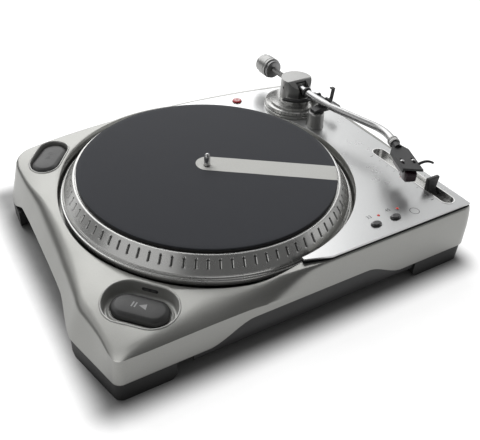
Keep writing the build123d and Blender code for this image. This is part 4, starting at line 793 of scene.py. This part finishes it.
def deck_prints():
    """Numbers, ticks and a plain circle on the deck."""
    number_print("print_slow", "33", (112.6, -149.6))
    number_print("print_fast", "45", (138.8, -149.2))
    ring_print("print_circle", (164.0, -163.4), 5.4, 0.6, DECK_TOP, "chassis", "ink_black")
    ends = (FADER_MID_Y + 4 * FADER_STEP, FADER_MID_Y - 4 * FADER_STEP)
    ticks = [box_shape(FADER_TICK_X - 0.5, y, 4.0, 0.8) for y in ends]
    for step in (-3, -2, -1, 1, 2, 3):
        ticks.append(box_shape(FADER_TICK_X + 1.0, FADER_MID_Y + step * FADER_STEP, 2.0, 0.5))
    flat_print("print_ticks", ticks, DECK_TOP, "chassis", "ink_black")
    centre = box_shape(FADER_TICK_X, FADER_MID_Y, 4.0, 0.9)
    flat_print("print_centre", [centre], DECK_TOP, "chassis", "ink_red")


def power_button():
    """Round red button with a pale mark."""
    x, y = POWER_PLACE
    profile = [
        (0, 65.1), (6.4, 65.1), (6.4, 73.1), (7.4, 73.1), (7.4, 74.7), (6.4, 74.7), (6.4, 78.0), (6.1, 78.7),
        (5.4, 79.15), (4.2, 79.35), (2.0, POWER_TOP), (0, POWER_TOP),
    ]
    piece("power_cap", capped(turned(profile, (x, y, 0), UP, 64)), "red_plastic", "power_button")
    ring_print("power_ring", (x, y), 3.4, 0.8, POWER_TOP - 0.02, "power", "ink_pale", 120, 420)
    flat_print("power_bar", [box_shape(x, y + 2.6, 0.9, 3.2)], POWER_TOP, "power", "ink_pale")


def pitch_knob():
    """Fan-shaped slider knob that widens towards its top."""
    sections = [
        (67.4, 5.3, 7.1), (68.0, 5.7, 7.5), (69.8, 5.7, 7.2), (71.4, 5.6, 5.8), (74.1, 5.7, 4.0),
        (78.0, 6.2, 3.4), (82.0, 6.8, 3.0), (86.0, 7.6, 2.7), (89.4, 8.3, 2.5), (90.7, 8.4, 2.3),
        (91.2, 8.2, 1.9), (91.4, 7.7, 1.4),
    ]
    rings = []
    for z, half_x, half_y in sections:
        rings.append(lifted(round_box(half_x, half_y, min(1.2, half_y * 0.6)) + PITCH_PLACE, z))
    stem = round_box(0.8, 2.5, 0.2) + PITCH_PLACE
    stem_rings = [lifted(stem, 61.8), lifted(stem, 68.0)]
    piece("pitch_fin", capped(rings, stem_rings), "black_plastic", "pitch_knob", angle=30)


def platter():
    """Turned platter: mat recess, bright rim, bevel with a ring of slots whose faces get a near-black look as
    painted shade, fine grooves and a lip.
    """
    below = (
        (5.0, 70), (18, 70), (18, 79), (142.5, 79), (160, 65), (160, 60.3), (160.5, 60), (165.4, 60),
        (166, 60.6), (166, 65.0), (165.8, 65.6), (165.3, 65.9), (164.3, 65.9), (164.0, 66.3), (164.0, 67.6),
        (163.6, 68.0), (163.1, 67.8), (162.9, 68.5), (162.7, 69.2), (162.3, 69.0),
    )
    above = (
        (150.8, 86.05), (150.2, 86.2), (149.1, 86.2), (148.6, 86.0), (148.5, 85.5), (148.5, 85.0),
        (5.0, 85.0),
    )
    steps = MARKS * MARK_STEPS
    turns = np.radians(MARK_BEARING) + full_turn(steps)
    ray = np.stack((np.cos(turns), np.sin(turns)), axis=1)
    phase = np.arange(steps) / MARK_STEPS
    top, foot = np.array(BEVEL_TOP), np.array(BEVEL_FOOT)
    length = np.linalg.norm(foot - top)
    down = (foot - top) / length
    inward = np.array((down[1], -down[0]))

    def ring(radius, z, sink=0.0):
        radius = np.broadcast_to(radius, (steps,)) + inward[0] * sink
        return np.column_stack((ray * radius[:, None], np.broadcast_to(z, (steps,)) + inward[1] * sink))

    def off_slot(share, radius, far):
        across = np.abs((share + 0.5) % 1 - 0.5) * 2 * math.pi / MARKS * radius
        past = np.maximum(np.maximum(MARK_FROM + MARK_HALF - far, far - MARK_TO + MARK_HALF), 0)
        return np.hypot(across, past)

    rings = [ring(*row) for row in below]
    for far in np.linspace(length, 0.9, 30):
        spot = top + down * far
        deep = MARK_DEPTH * ease(MARK_HALF, MARK_HALF * 0.35, off_slot(phase, spot[0], far))
        rings.append(ring(*spot, deep))
    rings += [ring(*row) for row in above]
    disc = piece("platter_disc", closed(rings), "cast_metal", "platter", angle=38)
    # Faces inside the strobe slots get the near-black look: painted shade
    disc.data.materials.append(LOOK["slot_painted_shade"])
    centres = np.empty(3 * len(disc.data.polygons))
    disc.data.polygons.foreach_get("center", centres)
    x, y, z = ((centres.reshape(-1, 3) - SHIFT) / MM).T
    radius = np.hypot(x, y)
    turn = (np.arctan2(y, x) - np.radians(MARK_BEARING)) * MARKS / (2 * math.pi)
    out, rise = radius - top[0], z - top[1]
    on_bevel = (np.abs(out * inward[0] + rise * inward[1]) < 2) & (radius > 149)
    slot_shade_mask = on_bevel & (off_slot(turn, radius, out * down[0] + rise * down[1]) < 0.8 * MARK_HALF)
    disc.data.polygons.foreach_set("material_index", slot_shade_mask.astype(np.int32))


def spindle():
    """Polished spindle with a rounded tip."""
    profile = [
        (0, 30), (5, 30), (5, 85), (2.97, 85), (2.97, 90), (3.57, 90.2), (3.57, 99), (3.3, 101),
        (2.7, 103.2), (1.9, 104.5), (1.0, 104.95), (0, 105),
    ]
    piece("spindle_pin", capped(turned(profile, (0, 0, 0), UP, 48)), "chrome", "spindle")


def slipmat():
    """Felt mat with softly rounded edges and a slight unevenness."""
    turns = full_turn(MAT_STEPS)
    ray = np.stack((np.cos(turns), np.sin(turns)), axis=1)

    def ring(radius, z):
        return lifted(ray * radius, z)

    edge = ((3.9, 88.02), (146.4, 88.02), (147.0, 88.6), (147.0, 89.2), (146.6, 89.7), (145.9, 89.9))
    rings = [ring(*row) for row in edge]
    for radius in np.linspace(140, 12, 22):
        broad = 0.05 * np.sin(3 * turns + radius / 17) * np.sin(radius / 23)
        fine = 0.03 * np.sin(7 * turns - radius / 9)
        rings.append(ring(radius, MAT_TOP + broad + fine))
    rings += [ring(*row) for row in ((5.0, 89.9), (4.2, 89.7), (3.9, 89.2))]
    mat = piece("felt_mat", closed(rings), "felt", "slipmat", angle=60)


def at_pivot(x, y, z=0.0):
    """Point about the arm's pivot."""
    return np.array((PIVOT[0] + x, PIVOT[1] + y, z), float)


def filleted(points, radii, step=3.0):
    """Path with its inner corners rounded by arcs."""
    spots = [np.array(point, float) for point in points]
    path = [spots[0]]
    for index, radius in enumerate(radii, 1):
        here = spots[index]
        before, after, half = corner_ways(spots[index - 1], here, spots[index + 1])
        reach = radius / math.tan(half)
        centre = here + unit(before + after) * radius / math.sin(half)
        start = here + before * reach - centre
        end = here + after * reach - centre
        sweep = math.pi - 2 * half
        for share in np.linspace(0, 1, max(int(radius * sweep / step), 6)):
            mix = math.sin((1 - share) * sweep) * start + math.sin(share * sweep) * end
            path.append(centre + mix / math.sin(sweep))
    path.append(spots[-1])
    return np.array(path)


def swept(path, radii, beside, steps):
    """Rings of a round bar along a path, one radius for each point."""
    path = np.array(path, float)
    ahead = np.gradient(path, axis=0)
    ahead /= np.linalg.norm(ahead, axis=1)[:, None]
    turns = full_turn(steps)
    rings = []
    for spot, way, radius in zip(path, ahead, radii):
        side = unit(np.cross(way, beside))
        around = np.outer(np.cos(turns), side) + np.outer(np.sin(turns), np.cross(way, side))
        rings.append(spot + around * radius)
    return rings


def arm_tube():
    """S-shaped tube, swept along its bends."""
    path = [at_pivot(*spot, ARM_Z) for spot in filleted(TUBE_POINTS, TUBE_BENDS)]
    rings = swept(path, [TUBE_R] * len(path), (0, 0, -1), 40)
    piece("tube_sweep", capped(rings), "chrome", "arm_tube", angle=40)


def fluted(profile, place, axis, steps, depth, flutes, rows):
    """Turned rings with flutes pressed into chosen rows."""
    rings = turned(profile, place, axis, steps)
    axis = unit(axis)
    wave = 0.5 - 0.5 * np.cos(np.linspace(0, 2 * math.pi * flutes, steps, endpoint=False))
    for row in rows:
        centre = np.array(place, float) + axis * profile[row][1]
        rings[row] = centre + (rings[row] - centre) * (1 - depth * wave / profile[row][0])[:, None]
    return rings


def ring_ticks(place, axis, second, radius, end, half, count, every, lengths):
    """Raised ticks round a turned piece, longer at every few, from x towards a second axis."""
    first, second, axis = np.array((1, 0, 0)), np.array(second), np.array(axis)
    ticks = []
    for index in range(count):
        angle = 2 * math.pi * index / count
        out = first * math.cos(angle) + second * math.sin(angle)
        side = second * math.cos(angle) - first * math.sin(angle)
        start = end - lengths[min(index % every, 1)]
        corners = ((-half, start), (half, start), (half, end), (-half, end))
        ring = np.array([place + out * radius + side * across + axis * far for across, far in corners])
        ticks.append([ring, ring + out * TICK_RAISE])
    return capped(*ticks)


def arm_rings():
    """Height ring with a grip, and ticks printed round its side."""
    place = at_pivot(0, 0)
    profile = [(16.5, 80.7), (38, 80.7), (38.5, 81.2), (38.5, 85), (38.1, 85.5), (37.4, 85.7), (16.5, 85.7)]
    piece("height_grip", closed(turned(profile, place, UP, 144)), "cast_metal", "height_ring", angle=30)
    ticks = ring_ticks(place, UP, BACKWARDS, 38.48, 84.6, 0.3, 48, 4, (2.6, 1.5))
    piece("height_ticks", ticks, "ink_black", body="height_adjuster", slot="black_plastic")


def counterweight():
    """Counterweight with grooves and a hollow end, its dial, and the threaded rear shaft."""
    place = at_pivot(0, 0, ARM_Z)
    profile = [
        (3.6, 57.0), (12.7, 57.0), (13.5, 57.8), (13.5, 61.0), (13.1, 61.3), (13.1, 61.8), (13.5, 62.1),
        (13.5, 72.6), (13.1, 73.2), (12.5, 73.6), (12.3, 74.2), (12.3, 79.2), (11.6, 80.0), (8.4, 80.0),
        (7.8, 79.4), (7.6, 77.6), (3.6, 77.4),
    ]
    piece("weight_turned", closed(turned(profile, place, BACKWARDS)), "arm_metal", "counterweight", angle=30)
    profile = [(3.6, 52.2), (10.8, 52.2), (11.4, 52.5), (12, 53.3), (12, 56.3), (11.6, 56.8), (3.6, 56.8)]
    piece("dial_turned", closed(turned(profile, place, BACKWARDS)), "dark_metal", "force_dial", angle=30)
    ticks = ring_ticks(place, BACKWARDS, UP, 11.98, 56.0, 0.2, 40, 5, (2.0, 1.2))
    piece("dial_ticks", ticks, "ink_black", body="dial", slot="black_plastic")
    profile = [(0, 10.0), (3.5, 10.0), (3.5, 30.0)]
    for turn in np.arange(30.0, 76.0, THREAD_PITCH):
        profile += [(3.5, turn + 0.1), (3.2, turn + 0.6), (3.5, turn + 1.1)]
    profile += [(3.2, 76.8), (2.6, 77.0), (0, 77.0)]
    piece("shaft_thread", capped(turned(profile, place, BACKWARDS, 40)), "arm_metal", "rear_shaft", angle=30)


def headshell_parts():
    """Locking collar, stop ring, cartridge screws, finger lift and the stylus grip under the shell's end."""
    side, across = level_axes(-SHELL_ANGLE)
    way = -across
    end = at_pivot(*TUBE_POINTS[-1], ARM_Z)
    profile = [
        (4.55, -8.95), (5.6, -8.95), (6.2, -8.4), (6.2, -6.6), (5.7, -6.2), (5.7, -5.9), (6.2, -5.5),
        (6.2, -0.6), (5.6, 0.05), (4.55, 0.05),
    ]
    rings = fluted(profile, end, way, 144, 0.35, 24, (6, 7))
    piece("collar_grip", closed(rings), "arm_metal", "headshell_collar", angle=30)
    profile = [(4.5, -26.5), (6.1, -26.5), (6.6, -26.0), (6.6, -23.5), (6.1, -23.0), (4.5, -23.0)]
    rings = turned(profile, at_pivot(0, 0, ARM_Z), BACKWARDS, 64)
    piece("stop_ring", closed(rings), "black_plastic", "tube_ring", angle=30)
    profile = [(0, 1.3), (1.35, 1.3), (2.1, 1.32), (2.1, 2.1), (1.7, 2.5), (1.0, 2.7), (0, 2.75)]
    places = [end + way * SHELL_FAR + side * off for off in (-SCREW_OFF, SCREW_OFF)]
    screws = [turned(profile, place, UP, 28) for place in places]
    piece("shell_screws", capped(*screws), "chrome", body="arm", slot="steel")
    shares = np.linspace(0, 1, 16)
    path = []
    for share in shares:
        level = end + way * (44 + 4 * share ** 2) + side * (9.6 + 15.4 * share)
        path.append(level + np.array((0, 0, 4.4 * math.sin(2.3 * share))))
    rings = swept(path, 1.7 - 0.5 * shares, (0.36, 0.93, 0.0), 20)
    piece("lift_hook", capped(rings), "black_plastic", "finger_lift", slot="black_plastic", angle=40)
    sections = (
        (39.0, 6.4, -15.0, -3.0), (40.0, 6.9, -15.8, -2.6), (48.0, 6.8, -16.2, -3.2),
        (54.0, 6.2, -15.6, -5.0), (55.4, 5.4, -14.6, -6.4),
    )
    rings = []
    for far, half, low, high in sections:
        centre = end + way * far + np.array((0, 0, (high + low) / 2))
        box = round_box(half, (high - low) / 2, 1.2)
        rings.append(np.array([centre + side * u + np.array((0, 0, v)) for u, v in box]))
    piece("stylus_grip", capped(rings), "cartridge_plum", body="arm", slot="black_gloss", angle=40)


def rest_pillar():
    """Tapered pillar of the arm rest with a foot ring and a rounded top."""
    profile = [
        (0, 77), (11.5, 77), (11.5, 78.2), (11.1, 78.7), (10.9, 79.2), (10.3, 94.6), (10.0, 96.0),
        (9.3, 96.8), (8.4, 97), (0, 97),
    ]
    rings = turned(profile, at_pivot(-7, -57))
    piece("pillar_turned", capped(rings), "arm_metal", "arm_rest_pillar", angle=30)


def lever_paddle():
    """Wider grip at the cue lever's end."""
    rings = []
    for inset, z in ((0.8, 91.6), (0.2, 92.0), (0.0, 92.8), (0.0, 94.4), (0.3, 95.0), (1.0, 95.3)):
        rings.append(lifted(round_box(4.4 - inset, 8.0 - inset, 1.6) + LEVER_END, z))
    body = BODY_OF["cue_lever"]
    piece("lever_grip", capped(rings), "black_plastic", body=body, slot="black_plastic", angle=40)


def skate_knob():
    """Small fluted dial with a pointer line."""
    place = at_pivot(23, 16)
    profile = [(0, 88.5), (6.2, 88.5), (6.5, 88.8), (6.5, 94.4), (6.2, 95.1)]
    profile += [(5.4, SKATE_TOP), (0, SKATE_TOP)]
    rings = fluted(profile, place, UP, 120, 0.4, 20, (2, 3))
    piece("skate_dial", capped(rings), "black_plastic", "anti_skate_knob", angle=30)
    line = box_shape(place[0], place[1] + 2.6, 0.8, 4.4)
    flat_print("skate_line", [line], SKATE_TOP, "anti_skate", "ink_pale")


def soften(node, width, look):
    """Copy of a CAD node with its sharp edges rounded, in its place."""
    mesh = frame["nodes"][node].data.copy()
    mesh.name = node + "_soft"
    work = bmesh.new()
    work.from_mesh(mesh)
    bmesh.ops.remove_doubles(work, verts=work.verts, dist=WELD_M)
    bmesh.ops.dissolve_limit(work, angle_limit=math.radians(1), verts=work.verts, edges=work.edges)
    work.to_mesh(mesh)
    work.free()
    obj = new_object(node + "_soft", mesh, BODY_OF[node], SLOT_OF[node], look)
    edge = obj.modifiers.new("edges", "BEVEL")
    edge.width = width * MM
    edge.segments = 2
    edge.limit_method = "ANGLE"
    edge.angle_limit = math.radians(SOFT_ANGLE)
    shade(mesh, SOFT_ANGLE)
    obj.modifiers.new("flat", "WEIGHTED_NORMAL")
    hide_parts(node)


def node_material(name):
    """New node material with its shader."""
    made = bpy.data.materials.new(name)
    made.use_nodes = True
    return made, made.node_tree, made.node_tree.nodes["Principled BSDF"]


def feed(socket, value):
    """Links another node's output to an input, or sets the input."""
    if isinstance(value, bpy.types.NodeSocket):
        socket.id_data.links.new(value, socket)
    else:
        socket.default_value = value


def fill(node, **inputs):
    """Feeds a node's inputs; an underscore stands for a space in an input's name."""
    for name, value in inputs.items():
        feed(node.inputs[name.replace("_", " ")], value)


def add(tree, kind, out, **inputs):
    """Output of a new node with its inputs fed."""
    node = tree.nodes.new("ShaderNode" + kind)
    fill(node, **inputs)
    return node.outputs[out]


def maths(tree, operation, first, second=0.0):
    """Sum, product or other step between values or numbers."""
    node = tree.nodes.new("ShaderNodeMath")
    node.operation = operation
    for socket, value in zip(node.inputs, (first, second)):
        feed(socket, value)
    return node.outputs[0]


def long_side(tree, first, second):
    """Longest side of a right-angled triangle."""
    squares = [maths(tree, "MULTIPLY", side, side) for side in (first, second)]
    return maths(tree, "SQRT", maths(tree, "ADD", *squares))


def object_xy(tree):
    """The object's own coordinates in plan."""
    x = add(tree, "SeparateXYZ", "X", Vector=add(tree, "TexCoord", "Object"))
    return x, x.node.outputs["Y"]


def grain(tree, scale, detail=6.0, rough=0.55):
    """Noise over the object's own coordinates."""
    place = add(tree, "TexCoord", "Object")
    return add(tree, "TexNoise", "Fac", Vector=place, Scale=scale, Detail=detail, Roughness=rough)


def ramp(tree, source, low, high):
    """Blend of two colours, or of two greys, over the middle of a value's range."""
    out = add(tree, "ValToRGB", "Color", Fac=source)
    for element, position, value in zip(out.node.color_ramp.elements, RAMP_ENDS, (low, high)):
        element.position = position
        element.color = (*value, 1) if isinstance(value, tuple) else (value, value, value, 1)
    return out


def surface(name, low, high, rough, metallic=0.0, scale=900, relief=0.02, coat=0.0):
    """Material with fine colour grain, roughness variation and relief."""
    made, tree, shader = node_material(name)
    fine = grain(tree, scale)
    limits = {"To_Min": max(rough - 0.04, 0.02), "To_Max": rough + 0.05}
    fill(shader, Base_Color=ramp(tree, fine, low, high), Metallic=metallic, Coat_Weight=coat)
    fill(shader, Roughness=add(tree, "MapRange", "Result", Value=grain(tree, 40.0, 3.0), **limits))
    fill(shader, Normal=add(tree, "Bump", "Normal", Height=fine, Strength=relief, Distance=0.0002))
    return made


def felt_material():
    """Dark felt with loose fibres and a plain pale bar from the centre to the edge."""
    made, tree, shader = node_material("felt")
    fibre = grain(tree, 1500.0, 8.0, 0.7)
    x, y = (maths(tree, "SUBTRACT", value, start) for value, start in zip(object_xy(tree), AXIS))

    def reach(way):
        parts = [maths(tree, "MULTIPLY", side, share) for side, share in zip((x, y), way)]
        return maths(tree, "ADD", *parts)

    along, across = (reach(way) for way in plan_axes(BAR_BEARING))
    across = maths(tree, "SUBTRACT", across, BAR_OFFSET * MM)
    before = maths(tree, "MINIMUM", maths(tree, "SUBTRACT", along, BAR_START * MM), 0.0)
    limits = {"From_Min": (BAR_HALF + BAR_SOFT) * MM, "From_Max": (BAR_HALF - BAR_SOFT) * MM}
    on_bar = add(tree, "MapRange", "Result", Value=long_side(tree, across, before), **limits)
    mix = tree.nodes.new("ShaderNodeMix")
    mix.data_type = "RGBA"
    fill(mix, Factor=on_bar, A=ramp(tree, fibre, *FELT_DARK), B=ramp(tree, fibre, *FELT_PALE))
    fill(shader, Base_Color=mix.outputs["Result"], Roughness=0.95, Sheen_Weight=0.12, Sheen_Roughness=0.5)
    fill(shader, Normal=add(tree, "Bump", "Normal", Height=fibre, Strength=0.5, Distance=0.0003))
    return made


def card_material():
    """Dim card that reflections show as dark grey."""
    made = surface("card_dim", 0.01, 0.015, 0.9, relief=0.05)
    fill(made.node_tree.nodes["Principled BSDF"], Emission_Color=WHITE, Emission_Strength=CARD_GLOW)
    return made


def seen_rays(tree):
    """1 where the background itself is seen, straight or in a reflection."""
    rays = tree.nodes.new("ShaderNodeLightPath").outputs
    seen = maths(tree, "MAXIMUM", rays["Is Camera Ray"], rays["Is Transmission Ray"])
    return maths(tree, "MAXIMUM", seen, rays["Is Glossy Ray"])


def floor_material():
    """Pale floor whose glow, seen straight and in reflections, is left out near the object: a painted shadow round
    its outline over the real shadow, fading to the white background further out.
    """
    made = surface("floor_white", 0.30, 0.33, 0.8, scale=60, relief=0.01)
    tree = made.node_tree
    beyond = []
    for value, start in zip(object_xy(tree), PAINTED_SHADOW_FROM):
        past = maths(tree, "SUBTRACT", maths(tree, "ABSOLUTE", value), start)
        beyond.append(maths(tree, "MAXIMUM", past, 0.0))
    # No glow near the object: painted shadow, seen in reflections too
    limits = {"From_Max": PAINTED_SHADOW_RUN, "To_Max": FLOOR_GLOW}
    painted_shadow_fade = add(tree, "MapRange", "Result", Value=long_side(tree, *beyond), **limits)
    painted_shadow_fade.node.interpolation_type = "SMOOTHSTEP"
    glow = maths(tree, "MULTIPLY", seen_rays(tree), painted_shadow_fade)
    fill(tree.nodes["Principled BSDF"], Emission_Color=WHITE, Emission_Strength=glow)
    return made


def make_camera():
    """Camera at the photograph's angle."""
    data = bpy.data.cameras.new("camera")
    data.sensor_fit = "HORIZONTAL"
    data.sensor_width = SENSOR_MM
    data.lens = FOCAL_PX * SENSOR_MM / IMAGE_W
    data.shift_x = (IMAGE_W / 2 - CENTRE_PX[0]) / IMAGE_W
    data.shift_y = (CENTRE_PX[1] - IMAGE_H / 2) / IMAGE_W
    data.clip_start = 0.01
    obj = linked("camera", data)
    back = -CAMERA_FORWARD.normalized()
    right = CAMERA_RIGHT.normalized()
    turn = Matrix((right, back.cross(right), back)).transposed().to_4x4()
    place = Vector(CAMERA_FROM_AXIS_MM) * MM + Vector(SHIFT)
    obj.matrix_world = Matrix.Translation(place) @ turn
    bpy.context.scene.camera = obj


def make_world():
    """Background that is seen as white and lights the object only softly."""
    world = bpy.data.worlds.new("studio")
    bpy.context.scene.world = world
    world.use_nodes = True
    tree = world.node_tree
    level = add(tree, "MapRange", "Result", Value=seen_rays(tree), To_Min=WORLD_LIGHT, To_Max=1.0)
    fill(tree.nodes["Background"], Color=WHITE, Strength=level)


def plane(name, corners, look):
    """Flat stage piece."""
    mesh = bpy.data.meshes.new(name)
    mesh.from_pydata(corners, [], [(0, 1, 2, 3)])
    obj = linked(name, mesh)
    paint(obj, look)
    return obj


def make_stage():
    """Pale floor with a painted shadow round the object, dark cards out of view, and large soft lamps behind."""
    corners = [(x * FLOOR_HALF, y * FLOOR_HALF, 0) for x, y in ((-1, -1), (1, -1), (1, 1), (-1, 1))]
    plane("floor", corners, "floor_white")
    for name, corners in CARDS.items():
        plane(name, corners, "card_dim").visible_camera = False
    for name, place, width, height, power, in_reflections in LAMPS:
        light = bpy.data.lights.new(name, "AREA")
        light.shape = "RECTANGLE"
        light.size = width
        light.size_y = height
        light.energy = power
        lamp = linked(name, light)
        lamp.location = place
        lamp.visible_glossy = in_reflections
        lamp.rotation_euler = (LAMP_AIM - Vector(place)).to_track_quat("-Z", "Y").to_euler()


for look_name, values in SURFACES.items():
    LOOK[look_name] = surface(look_name, *values)
LOOK["felt"] = felt_material()
LOOK["card_dim"] = card_material()
LOOK["floor_white"] = floor_material()
make_camera()
make_world()
make_stage()
for node_name, node_slot in SLOT_OF.items():
    paint(frame["nodes"][node_name], NODE_LOOKS.get(node_name, SLOT_LOOKS.get(node_slot, node_slot)))

plinth()
well_band()
front_panel()
start_well("well_front", "start_well_front", FRONT_WELL)
start_well("well_rear", "start_well_rear", REAR_WELL)
start_button("cap_front", "start_button_front", FRONT_WELL)
start_button("cap_rear", "start_button_rear", REAR_WELL)
start_icon("icon_front", FRONT_WELL, "front_start", "ink_dim")
start_icon("icon_rear", REAR_WELL, "rear_start", "ink_black")
start_window()
speed_lights()
deck_prints()
power_button()
pitch_knob()
platter()
spindle()
slipmat()
arm_tube()
arm_rings()
counterweight()
headshell_parts()
rest_pillar()
lever_paddle()
skate_knob()
for node_name, (edge_width, look_name) in SOFTENED.items():
    soften(node_name, edge_width, look_name)
